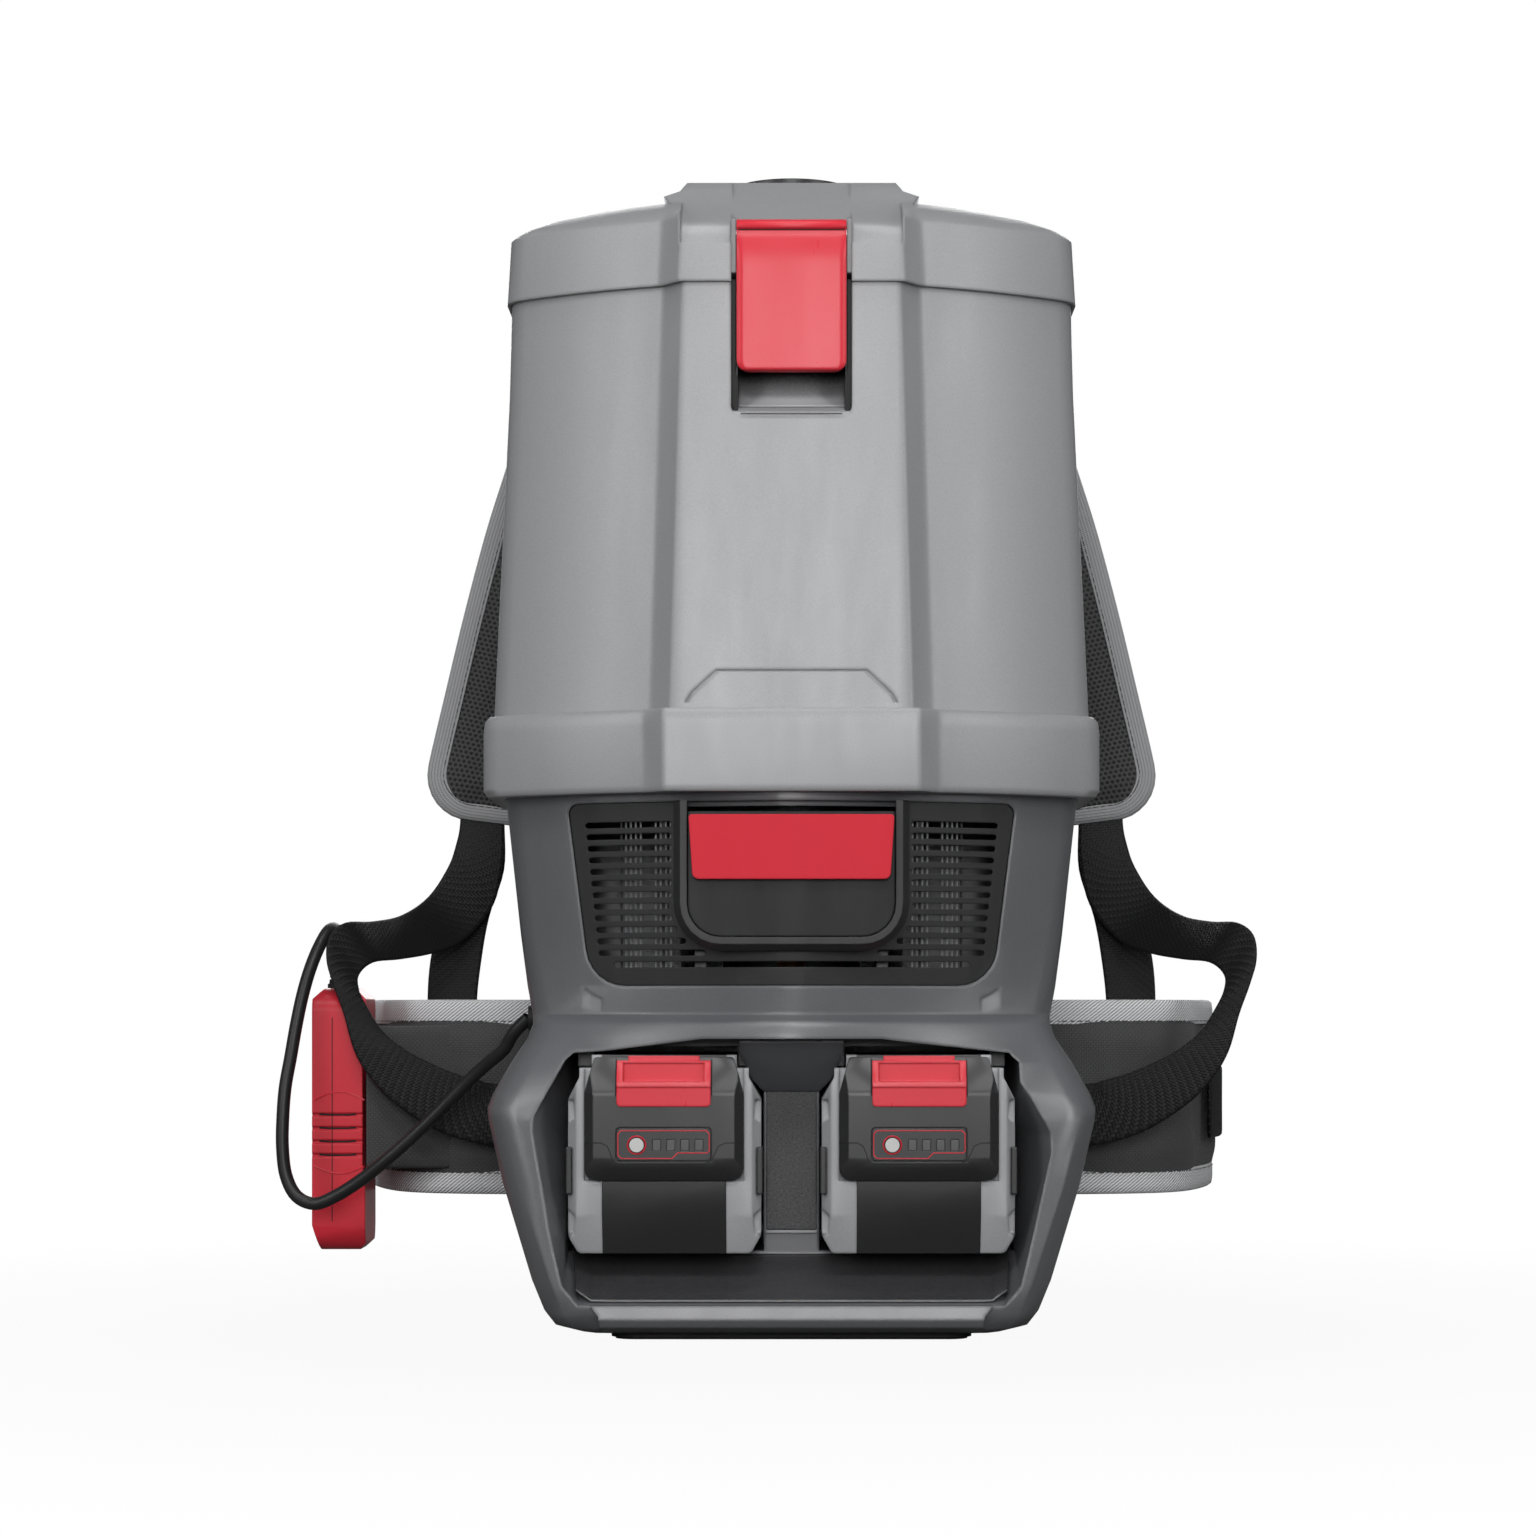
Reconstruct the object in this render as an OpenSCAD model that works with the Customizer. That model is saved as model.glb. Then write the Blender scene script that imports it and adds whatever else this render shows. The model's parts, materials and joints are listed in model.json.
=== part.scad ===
// Cordless backpack vacuum cleaner. A grey dirt canister with a hinged lid stands on a motor housing
// that holds an exhaust filter drawer and two slide-in battery packs. A padded harness and a wired
// handset are on the wearer's side. Millimetres. The origin is the centre of the foot's underside,
// +Z is up and -Y points away from the wearer.

/* [Canister] */
// Height of the seam between canister and lid
seam_z = 520; // [480:1:560]
// Width of the canister at the seam
canister_top_w = 283; // [270:1:290]
// Width of the canister at the collar
canister_base_w = 301; // [290:1:304]
// Depth of the canister from its front panel to its back
canister_depth = 200; // [190:1:220]
// Wall of the canister and of the lid
shell_wall = 3.5; // [2.5:0.5:5]
// Width of the raised front panel at the seam
panel_top_w = 108; // [96:1:120]
// Width of the raised front panel at the collar
panel_base_w = 121; // [110:1:130]
// Width of the sloped shoulder beside the front panel
shoulder_w = 11; // [6:1:16]
// Radius of the front corners seen from above
corner_r = 20; // [14:1:28]
// Radius of the rear corners seen from above
rear_r = 45; // [30:1:60]

/* [Collar] */
// Lower edge of the collar band
collar_z = 268.5; // [262:0.5:274]
// Height of the collar band
collar_h = 40.5; // [30:0.5:50]
// How far the collar band stands out beyond the canister on each side
collar_lip = 4.5; // [2:0.5:8]

/* [Lid] */
// Height of the lid from the seam to the top of the hose port
lid_h = 65; // [60:1:80]
// Height of the lid's upright front wall
lid_front_h = 30; // [24:1:36]
// How far the lid's rim laps down over the canister
lid_lap = 2; // [1:0.5:4]
// Width of the hump that carries the hose port, at its top
hump_w = 104; // [90:1:116]
// Bore of the hose port
port_bore = 39; // [32:1:42]
// Outer diameter of the hose port's ring
port_ring_d = 62; // [58:1:66]
// Depth of the hose port's bore
port_depth = 66; // [60:1:68]

/* [Hinge] */
// Diameter of the lid's hinge pin
hinge_pin_d = 6; // [4:0.5:8]
// Outer diameter of the hinge knuckles
knuckle_d = 13; // [11:0.5:16]
// Length of the hinge pin
hinge_pin_l = 116; // [90:1:130]

/* [Latch] */
// Width of the red latch lever
latch_w = 53.6; // [46:0.2:54]
// Height of the latch lever
latch_h = 74; // [64:1:80]
// Thickness of the latch lever
latch_t = 5; // [4:0.5:6]
// Width of the recess round the latch
recess_w = 59; // [58:0.5:64]
// Finger space in the recess below the latch
finger_space = 23; // [18:1:30]
// Depth of the recess
recess_d = 14; // [12:0.5:18]
// Diameter of the latch's pivot pin
latch_pin_d = 4; // [3:0.5:5]

/* [Motor housing] */
// Width of the housing at its waist
waist_w = 260; // [250:1:270]
// Height of the waist above the floor
waist_z = 156; // [152:1:158]
// Width of the housing at the flare beside the batteries
flare_w = 304; // [290:1:314]
// Height of the flare above the floor
flare_z = 112; // [104:1:118]
// Wall of the motor housing
base_wall = 6; // [5:0.5:8]
// Width of the rubber foot
foot_w = 178; // [150:1:200]
// Thickness of the rubber foot
foot_t = 3.5; // [3:0.5:5]

/* [Grille] */
// Width of the black vent grille at its top
grille_top_w = 223; // [210:1:230]
// Width of the vent grille at its bottom
grille_bottom_w = 200; // [190:1:210]
// Lower edge of the vent grille
grille_z = 174; // [170:0.5:180]
// Rows of slots in the grille
slot_rows = 13; // [9:1:13]
// Distance from slot to slot
slot_pitch = 5.75; // [5:0.05:6]
// Height of one slot
slot_h = 2.8; // [2:0.1:3.6]
// Thickness of the grille
grille_t = 3.2; // [2.5:0.1:4]

/* [Filter drawer] */
// Width of the filter door
door_w = 101; // [92:1:104]
// Height of the filter door
door_h = 61; // [56:1:64]
// Length of the filter frame behind its door
filter_l = 52; // [40:1:56]
// Number of pleats in the filter
pleats = 14; // [8:1:18]
// Height of the red pull tab
tab_h = 31.5; // [26:0.5:36]
// Thickness of the pull tab
tab_t = 3.5; // [3:0.5:4]
// Diameter of the pull tab's pin
tab_pin_d = 2.4; // [1.6:0.2:2.8]

/* [Battery packs] */
// Distance between the centre lines of the two packs
pack_spacing = 125; // [122:1:126]
// Width of a pack
pack_w = 95; // [88:0.5:96]
// Length of a pack from its front to its back
pack_l = 112; // [96:1:118]
// Width of the black centre of a pack
core_w = 61; // [50:1:66]
// Width of the black cap at the front of a pack
cap_w = 78; // [72:1:84]
// Width of the red release
release_w = 46; // [38:1:52]
// Travel of the red release
release_travel = 4; // [2:0.5:5]
// Diameter of the charge gauge's button
gauge_button_d = 7; // [5:0.5:8]
// Diameter of a battery cell
cell_d = 18; // [16:0.5:18.5]

/* [Motor] */
// Diameter of the motor can
motor_d = 116; // [104:1:120]
// Diameter of the impeller
impeller_d = 100; // [84:1:106]
// Blades of the impeller
blades = 9; // [6:1:12]
// Diameter of the motor shaft
shaft_d = 8; // [6:0.5:10]

/* [Harness] */
// Thickness of the back plate
plate_t = 6; // [4:0.5:8]
// Width of the back plate
plate_w = 216; // [190:1:224]
// Width of a shoulder pad
shoulder_pad_w = 74; // [64:1:78]
// Thickness of a shoulder pad
shoulder_pad_t = 13; // [10:0.5:15]
// Height of the hip belt
belt_h = 105; // [90:1:110]
// Thickness of the hip belt's padding
belt_t = 13; // [9:0.5:14]
// Width of the hip belt's webbing
belt_webbing_w = 40; // [34:1:44]
// Thickness of the webbing
webbing_t = 2; // [1.4:0.1:2.4]

/* [Handset] */
// Height of the handset
handset_h = 143; // [120:1:150]
// Depth of the handset along the belt
handset_w = 50; // [42:1:50]
// Thickness of the handset
handset_t = 29; // [24:0.5:29]
// Diameter of the handset's buttons
handset_button_d = 15; // [10:0.5:18]
// Diameter of the control cord
cord_d = 7; // [5:0.5:7]

/* [Clearances] */
// Clearance round a part that slides or swings
slide_gap = 0.4; // [0.3:0.05:0.6]
// Radial clearance of a pin in its bore
pin_gap = 0.05; // [0.02:0.01:0.1]

/* [Hidden] */

$fn = 48;
grey = "#7c7e82";
dark_grey = "#5f6166";
black = "#2b2b2d";
red = "#d2313c";
steel = "#b8bcc2";

// Seen from above
front_y = -110;
back_y = front_y + canister_depth;
corner_setback = 66;
lobe_r = 280;
lobe_end = -54;
seam_front_y = front_y + 6;

// ---------------------------------------------------------------- helpers

function arc(c, r, a0, a1, n) =
    [for (i = [0:n]) c + r * [cos(a0 + (a1 - a0) * i / n), sin(a0 + (a1 - a0) * i / n)]];

function unit(v) = v / norm(v);

function turn(a) = a > 180 ? a - 360 : a < -180 ? a + 360 : a;

// Outline with rounded corners; r holds one radius for each corner
function rounded(pts, r, n = 5) = [for (i = [0:len(pts) - 1])
    let (p = pts[i],
         u = unit(pts[(i + len(pts) - 1) % len(pts)] - p),
         v = unit(pts[(i + 1) % len(pts)] - p),
         half = acos(max(-1, min(1, u * v))) / 2,
         rad = is_list(r) ? r[i] : r)
    each rad < 0.01 || half > 89.5 ? [p] :
        let (c = p + unit(u + v) * rad / sin(half),
             s = p + u * rad / tan(half) - c,
             e = p + v * rad / tan(half) - c,
             a0 = atan2(s[1], s[0]),
             da = turn(atan2(e[1], e[0]) - a0))
        [for (k = [0:n]) c + rad * [cos(a0 + da * k / n), sin(a0 + da * k / n)]]];

function box2(x0, x1, y0, y1) = [[x0, y0], [x1, y0], [x1, y1], [x0, y1]];

function mirrored(half) =
    concat(half, [for (i = [len(half) - 1:-1:0]) [-half[i][0], half[i][1]]]);

function at_z(outline, z) = [for (p = outline) [p[0], p[1], z]];

function at_y(outline, y) = [for (p = outline) [p[0], y, p[1]]];

// Closed skin through rings that have the same number of points, which is
// even in number and each end is closed by strips between opposite points
module loft(rings) {
    n = len(rings[0]);
    m = len(rings);
    strips = [for (i = [0:n / 2 - 2]) [i, i + 1, n - 2 - i, n - 1 - i]];
    polyhedron(
        points = [for (ring = rings) for (p = ring) p],
        faces = concat(
            strips,
            [for (j = [0:m - 2]) for (i = [0:n - 1])
                let (a = j * n + i, b = j * n + (i + 1) % n)
                each [[a, a + n, b + n], [a, b + n, b]]],
            [for (f = strips) [for (k = [3:-1:0]) (m - 1) * n + f[k]]]));
}

// Prisms along Y, X and Z
module front_prism(outline, y0, y1)
    translate([0, y1, 0]) rotate([90, 0, 0]) linear_extrude(y1 - y0) polygon(outline);

module front_prism_of(y0, y1)
    translate([0, y1, 0]) rotate([90, 0, 0]) linear_extrude(y1 - y0) children();

module side_prism(profile, x0, x1)
    translate([x0, 0, 0]) rotate([90, 0, 90]) linear_extrude(x1 - x0) polygon(profile);

module plan_prism(outline, z0, z1)
    translate([0, 0, z0]) linear_extrude(z1 - z0) polygon(outline);

module rod_x(d, x0, x1, y, z)
    translate([x0, y, z]) rotate([0, 90, 0]) cylinder(d = d, h = x1 - x0);

module rod_y(d, y0, y1, x, z)
    translate([x, y0, z]) rotate([-90, 0, 0]) cylinder(d = d, h = y1 - y0);

module box(x0, x1, y0, y1, z0, z1)
    translate([x0, y0, z0]) cube([x1 - x0, y1 - y0, z1 - z0]);

module both_sides() {
    children();
    mirror([1, 0, 0]) children();
}

// Half of the body's outline seen from above: front panel, sloped shoulder, lobe, corners and back
function body_half(half_w, front, back, panel, inset = 0) =
    let (cc = [half_w - corner_r, front + corner_setback],
         dir = [cos(lobe_end), sin(lobe_end)],
         lc = cc + (corner_r - lobe_r) * dir,
         start = panel > 0 ? panel + shoulder_w : 6,
         a = -acos((start - lc[0]) / lobe_r),
         foot = lc + (lobe_r - inset) * [cos(a), sin(a)],
         lobe = arc(lc, lobe_r - inset, a, lobe_end, 6),
         corner = arc(cc, corner_r - inset, lobe_end, 0, 4),
         rear = arc([half_w - rear_r, back - rear_r], rear_r - inset, 0, 90, 6),
         face = [[panel - inset - 2.5, front + inset], [panel - inset, front + inset + 1.5],
                 [foot[0] - 3.5, foot[1] - 1.6]])
    concat(panel > 0 ? face : [], lobe, [for (i = [1:4]) corner[i]], rear);

function body_ring(half_w, front, back, panel, z, inset = 0) =
    at_z(mirrored(body_half(half_w, front, back, panel, inset)), z);

// ---------------------------------------------------------------- canister

collar_top = collar_z + collar_h;
collar_w = canister_base_w + 2 * collar_lip;
canister_z = collar_top - 9;
seam_gap = 0.2;
canister_floor_t = 4;

// Height, half width, front and half panel width of the canister
function mix(a, b, t) = a + (b - a) * t;
canister_levels = [for (t = [0, 0.78, 0.9, 1])
    [mix(canister_z, seam_z, t),
     mix(canister_base_w, canister_top_w, t < 0.8 ? t * 1.12 : t < 0.95 ? 0.95 : 1) / 2,
     mix(front_y, seam_front_y, t),
     mix(panel_base_w, panel_top_w, t) / 2]];

function canister_rings(inset, drop = 0) = [for (l = canister_levels)
    body_ring(l[1], l[2], back_y, l[3], l[0] + drop, inset)];

recess_z = seam_z - 68;
recess_back = seam_front_y + recess_d;
recess_front = rounded(box2(-recess_w / 2, recess_w / 2, recess_z, seam_z + 100), [5, 5, 0, 0]);

// Recess seen from the side, with a scooped lower end for the fingers
recess_side = concat([[front_y - 20, recess_z], [front_y + 1, recess_z]],
    arc([recess_back - 22, recess_z + 24], 22, -62, 0, 6),
    [[recess_back, seam_z + 1], [front_y - 20, seam_z + 1]]);

module recess_cut() {
    intersection() {
        front_prism(recess_front, front_y - 20, recess_back + 1);
        side_prism(recess_side, -recess_w / 2, recess_w / 2);
    }
}

latch_pivot_y = seam_front_y + 3;
latch_pivot_z = seam_z + 22;
latch_top_z = latch_pivot_z + 6;
latch_bottom_z = latch_top_z - latch_h;
hook_z = seam_z - 18;
hook_tip = recess_back - 5;
badge = [[-52, 312], [-49, 317], [-37, 328], [37, 328], [49, 317], [52, 312]];

module badge_line() {
    inner = [for (p = badge) [p[0] * 0.975, p[1] - (p[1] > 311 ? 1 : -1)]];
    difference() {
        front_prism(badge, front_y - 5, front_y + 1.6);
        front_prism(inner, front_y - 6, front_y + 2);
    }
}

module canister_shell() color(grey) {
    difference() {
        union() {
            difference() {
                loft(canister_rings(0));
                loft(canister_rings(shell_wall, canister_floor_t));
            }
            intersection() {
                loft(canister_rings(0));
                box(-recess_w / 2 - shell_wall, recess_w / 2 + shell_wall, front_y - 5,
                    recess_back + shell_wall, recess_z - shell_wall, seam_z);
            }
        }
        recess_cut();
        badge_line();
        translate([0, motor_y, canister_z - 1]) cylinder(r = inlet_r, h = canister_floor_t + 2);
    }
    // Catch nose for the latch
    side_prism([[recess_back, hook_z + 2], [hook_tip + slide_gap, hook_z + 4],
        [hook_tip + slide_gap, hook_z + 7], [recess_back, hook_z + 12]], -14, 14);
}

module collar_ring() color(grey) {
    levels = [[0, -2.5], [0.08, 0], [0.8, 0], [0.94, -0.8], [1, -3]];
    difference() {
        loft([for (l = levels) body_ring(collar_w / 2 + l[1], front_y - 6 - l[1] / 2, back_y,
            panel_base_w / 2 + 3, collar_z + collar_h * l[0])]);
        // Socket for the foot of the canister, with the ledge that it stands on
        loft([for (z = [canister_z - seam_gap, collar_top + 1])
            body_ring(canister_base_w / 2, front_y, back_y + 1, panel_base_w / 2, z, -seam_gap)]);
        loft([for (z = [base_top, canister_z + 1])
            body_ring(canister_base_w / 2, front_y, back_y, panel_base_w / 2, z, shell_wall)]);
        // Lip round the top of the motor housing
        loft([for (z = [collar_z - 1, base_top + seam_gap])
            base_ring(base_levels[len(base_levels) - 1], -seam_gap, z)]);
    }
}

inlet_r = 44;

module inlet_cage() color(black) {
    floor_z = canister_z + canister_floor_t;
    difference() {
        translate([0, motor_y, floor_z]) union() {
            cylinder(r = inlet_r + 8, h = 3);
            cylinder(r = inlet_r - 4, h = 34);
        }
        translate([0, motor_y, floor_z - 1]) cylinder(r = inlet_r - 7, h = 32);
        for (i = [0:11]) translate([0, motor_y, floor_z + 6]) rotate([0, 0, i * 30])
            translate([-3, 20, 0]) cube([6, 40, 22]);
    }
}

// Cardboard-holding plate across the mouth of the canister
dock_z = seam_z - 12;

module bag_dock() color(black) {
    difference() {
        union() {
            plan_prism(mirrored(body_half(canister_top_w / 2 + 0.6, seam_front_y + 22, back_y + 0.4,
                0, shell_wall + 0.8)), dock_z, dock_z + 3);
            translate([0, 0, dock_z]) cylinder(d = port_ring_d + 8, h = 8);
        }
        translate([0, 0, dock_z - 1]) cylinder(d = port_bore + 4, h = 12);
    }
}

// Bag: a soft box with drawn-in ends that hangs from its dock
bag_y = 2;
bag_w = canister_top_w - 67;
bag_d = canister_depth - 70;
bag_z = canister_z + 52;

function bag_ring(z, w, d, r) = at_z(rounded(box2(-w / 2, w / 2, bag_y - d / 2, bag_y + d / 2), r, 4), z);

module dust_bag() color("#d9d2c0")
    loft([bag_ring(bag_z, bag_w * 0.69, bag_d * 0.62, 24), bag_ring(bag_z + 10, bag_w * 0.91, bag_d * 0.89, 30),
        bag_ring(mix(bag_z, dock_z, 0.31), bag_w, bag_d, 34),
        bag_ring(mix(bag_z, dock_z, 0.63), bag_w * 0.98, bag_d * 0.98, 34),
        bag_ring(dock_z - 18, bag_w * 0.83, bag_d * 0.85, 30), bag_ring(dock_z - 3, bag_w * 0.51, bag_d * 0.65, 24),
        bag_ring(dock_z - 0.3, bag_w * 0.37, bag_d * 0.58, 24)]);

// ---------------------------------------------------------------- lid

lid_top = seam_z + lid_h;
hump_top = lid_top - 3;
dome_y = (seam_front_y + back_y) / 2;
hump_z = hump_top - 8;

// Shrinks the lid's outline about the middle of the dome
function lid_ring(z, s, grow, inset = 0) = [for (p = body_ring(canister_top_w / 2 + grow,
    seam_front_y - grow, back_y + grow, panel_top_w / 2 + grow, z, inset))
    [p[0] * s, dome_y + (p[1] - dome_y) * s, z]];

crease_z = seam_z + lid_front_h;
lid_rim = 2.2;
gasket_t = 1.6;
dome = [[0, 1], [1.6, 0.988], [5, 0.95], [10, 0.86], [16, 0.7], [21, 0.5], [24, 0.3]];

function lid_rings(inset, sink) = concat(
    [lid_ring(seam_z - lid_lap - (sink > 0 ? 1 : 0), 1, lid_rim, inset)],
    [for (d = dome) lid_ring(crease_z + d[0] - sink, d[1], 0.4, inset)]);

// Saddle that sweeps from the front panel up to the hose port
saddle = [[2, 17], [5, 26], [12, 31], [28, 38.5], [44, 48], [56, 56.5], [64, 61], [70, 62.4]];
hump_back = 148;

function saddle_profile(low) = concat(
    [[seam_front_y + 2, low]],
    [for (p = saddle) [seam_front_y + p[0], seam_z + p[1] * (hump_top - seam_z) / 62.4]],
    [[seam_front_y + hump_back, hump_top], [seam_front_y + hump_back + 30, hump_z - 8],
     [seam_front_y + hump_back + 30, low]]);

channel_back = seam_front_y + recess_d;
channel_top_y = -port_ring_d / 2 - 3;

module lid_channel(grow) {
    side_prism([[front_y - 20, seam_z - 10], [channel_back + grow, seam_z - 10],
        [channel_back + grow, seam_z + 30], [channel_top_y + grow, hump_top + 1],
        [channel_top_y + grow, lid_top + 20], [front_y - 20, lid_top + 20]],
        -recess_w / 2 - grow, recess_w / 2 + grow);
}

// Space in front of and above the saddle, moved inwards by the wall for the inside of the lid
module above_saddle(half_w, shift) {
    side_prism(concat([[front_y - 20, seam_z + 17 - shift], [seam_front_y + shift, seam_z + 17 - shift]],
        [for (p = saddle) [seam_front_y + p[0] + shift, seam_z + p[1] * (hump_top - seam_z) / 62.4 - shift]],
        [[seam_front_y + 70 + shift, lid_top + 10], [front_y - 20, lid_top + 10]]), -half_w, half_w);
}

module lid_body() {
    difference() {
        union() {
            loft(lid_rings(0, 0));
            intersection() {
                side_prism(saddle_profile(seam_z + 8), -100, 100);
                front_prism([[-saddle_x, seam_z + 8], [saddle_x, seam_z + 8], [saddle_x, crease_z + 4],
                    [hump_w / 2 + 12, hump_z - 4], [hump_w / 2 + 4, hump_z], [hump_w / 2, hump_top],
                    [-hump_w / 2, hump_top], [-hump_w / 2 - 4, hump_z], [-hump_w / 2 - 12, hump_z - 4],
                    [-saddle_x, crease_z + 4]], -120, 120);
            }
        }
        above_saddle(saddle_x, 0);
    }
}

saddle_x = panel_top_w / 2 + 0.4;

module lid_shell() color(grey) {
    difference() {
        lid_body();
        difference() {
            loft(lid_rings(shell_wall + 1.2, shell_wall));
            lid_channel(shell_wall);
            above_saddle(saddle_x + shell_wall, shell_wall);
        }
        // Rebate that laps over the rim of the canister
        loft([for (z = [seam_z - lid_lap - 2, seam_z + seam_gap + gasket_t])
            body_ring(canister_top_w / 2, seam_front_y, back_y, panel_top_w / 2, z, -slide_gap)]);
        lid_channel(0);
        translate([0, 0, seam_z]) cylinder(d = port_tube_d + 2 * seam_gap, h = lid_h + 10);
    }
}

port_tube_d = port_bore + 7;
port_z = lid_top - port_depth;

// Ring and tube that take the hose cuff
module hose_port() color(black) {
    difference() {
        union() {
            translate([0, 0, port_z]) cylinder(d = port_tube_d, h = port_depth);
            translate([0, 0, hump_top]) cylinder(d = port_ring_d, h = lid_top - hump_top);
        }
        translate([0, 0, port_z - 1]) cylinder(d = port_bore, h = port_depth + 2);
    }
}

// Soft ring on the lid that closes on the rim of the canister
module lid_gasket() color("#1c1c1d") {
    z0 = seam_z + seam_gap;
    difference() {
        loft([for (z = [z0, z0 + gasket_t - 0.05])
            body_ring(canister_top_w / 2, seam_front_y, back_y, panel_top_w / 2, z, 0.1)]);
        loft([for (z = [z0 - 1, z0 + gasket_t + 1])
            body_ring(canister_top_w / 2, seam_front_y, back_y, panel_top_w / 2, z, shell_wall - 0.1)]);
        box(-recess_w / 2 - shell_wall, recess_w / 2 + shell_wall, front_y - 5, recess_back + shell_wall,
            seam_z - 2, seam_z + 5);
    }
}

// ---------------------------------------------------------------- hinge at the rear of the lid

hinge_y = back_y + knuckle_d / 2 + 3;
hinge_z = seam_z - 2;
knuckle_gap = slide_gap;
mid_knuckle = hinge_pin_l * 0.36;

module knuckle(x0, x1) {
    difference() {
        rod_x(knuckle_d, x0, x1, hinge_y, hinge_z);
        rod_x(hinge_pin_d + 2 * pin_gap, x0 - 1, x1 + 1, hinge_y, hinge_z);
    }
}

// Fixed half, screwed to the back of the canister
module hinge_bracket() color(black) {
    knuckle(-mid_knuckle / 2, mid_knuckle / 2);
    difference() {
        union() {
            box(-mid_knuckle / 2, mid_knuckle / 2, back_y, back_y + 3, hinge_z - 34, hinge_z - 4);
            box(-mid_knuckle / 2, mid_knuckle / 2, back_y, hinge_y, hinge_z - 12, hinge_z - 4);
        }
        rod_x(hinge_pin_d + 2 * pin_gap + 2, -60, 60, hinge_y, hinge_z);
    }
}

// Moving half, fixed to the back of the lid
module hinge_leaf() color(black) {
    for (side = [-1, 1])
        difference() {
            x0 = side > 0 ? mid_knuckle / 2 + knuckle_gap : -hinge_pin_l / 2 + 2;
            x1 = side > 0 ? hinge_pin_l / 2 - 2 : -mid_knuckle / 2 - knuckle_gap;
            union() {
                rod_x(knuckle_d, x0, x1, hinge_y, hinge_z);
                side_prism([[back_y + lid_rim + 0.1, hinge_z + 3], [hinge_y, hinge_z + 3],
                    [hinge_y, hinge_z + 22], [back_y + lid_rim - 0.95, hinge_z + 22]], x0, x1);
            }
            rod_x(hinge_pin_d + 2 * pin_gap, x0 - 1, x1 + 1, hinge_y, hinge_z);
        }
}

module hinge_pin() color(steel)
    rod_x(hinge_pin_d, -hinge_pin_l / 2, hinge_pin_l / 2, hinge_y, hinge_z);

// ---------------------------------------------------------------- latch

cheek_t = (recess_w - latch_w) / 2 - slide_gap;

module latch_bracket() color("#c9cacc") {
    for (side = [-1, 1])
        difference() {
            side_prism(rounded([[latch_pivot_y - 3.4, seam_z + 2], [channel_back, seam_z + 2],
                [channel_back, seam_z + 30], [latch_pivot_y - 3.4, seam_z + 30]], [1, 0, 0, 3]),
                side > 0 ? latch_w / 2 + slide_gap : -recess_w / 2,
                side > 0 ? recess_w / 2 : -latch_w / 2 - slide_gap);
            rod_x(latch_pin_d + 2 * pin_gap, -40, 40, latch_pivot_y, latch_pivot_z);
        }
}

// Lever seen from the side: rolled top, flat blade, thick lower lip and a hook
latch_front = latch_pivot_y - 6;
latch_blade = concat(arc([latch_pivot_y, latch_pivot_z], 6, 180, 0, 10),
    [[latch_pivot_y + 6, latch_pivot_z - 6], [latch_front + latch_t + 2, latch_pivot_z - 12],
     [latch_front + latch_t, hook_z + 1], [hook_tip, hook_z], [hook_tip - 1, hook_z - 4],
     [latch_front + latch_t, hook_z - 7], [latch_front + latch_t, latch_bottom_z + 8],
     [latch_front + latch_t + 1, latch_bottom_z + 1.5], [latch_front + latch_t, latch_bottom_z],
     [latch_front + 1.5, latch_bottom_z], [latch_front, latch_bottom_z + 1.5]]);

module latch_lever() color(red) {
    difference() {
        intersection() {
            side_prism(latch_blade, -latch_w / 2, latch_w / 2);
            front_prism(rounded(box2(-latch_w / 2, latch_w / 2, latch_bottom_z, latch_top_z + 1),
                [6, 6, 0, 0]), front_y - 30, front_y + 60);
        }
        rod_x(latch_pin_d + 2 * pin_gap, -40, 40, latch_pivot_y, latch_pivot_z);
        // The hook is narrower than the lever
        for (side = [-1, 1])
            box(side > 0 ? 13 : -40, side > 0 ? 40 : -13, latch_front + latch_t, hook_tip + 1,
                hook_z - 7.2, hook_z + 1.2);
    }
}

module latch_pin() color(steel)
    rod_x(latch_pin_d, -recess_w / 2, recess_w / 2, latch_pivot_y, latch_pivot_z);

// ---------------------------------------------------------------- motor housing

base_front = front_y + 4;
base_z0 = foot_t;
base_top = collar_z + 1.5;

// Height, half width and front of the housing at each level, and how flat its front is (0 to 1)
base_levels = [
    [base_z0, waist_w / 2 - 22, base_front + 6, 1],
    [base_z0 + 3, waist_w / 2 - 12, base_front, 1],
    [base_z0 + 10, waist_w / 2 - 7, base_front - 4, 1],
    [28, waist_w / 2 - 1, base_front - 5, 0.95],
    [76, flare_w / 2 - 8, base_front - 5, 0.75],
    [flare_z - 5, flare_w / 2 - 0.6, base_front - 5, 0.65],
    [flare_z + 1, flare_w / 2, base_front - 5, 0.6],
    [flare_z + 8, flare_w / 2 - 2.6, base_front - 5, 0.58],
    [waist_z - 20, waist_w / 2 + 10.5, base_front - 4, 0.45],
    [waist_z - 8, waist_w / 2 + 2.5, base_front - 4, 0.3],
    [waist_z - 1, waist_w / 2, base_front - 3.2, 0.25],
    [waist_z + 1, waist_w / 2 + 0.2, base_front - 1, 0.25],
    [waist_z + 4, waist_w / 2 + 0.8, base_front + 4, 0.2],
    [waist_z + 18, waist_w / 2 + 3.5, base_front + 3, 0.1],
    [200, waist_w / 2 + 7, base_front + 1, 0],
    [base_top, waist_w / 2 + 14.5, base_front, 0]];

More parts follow.
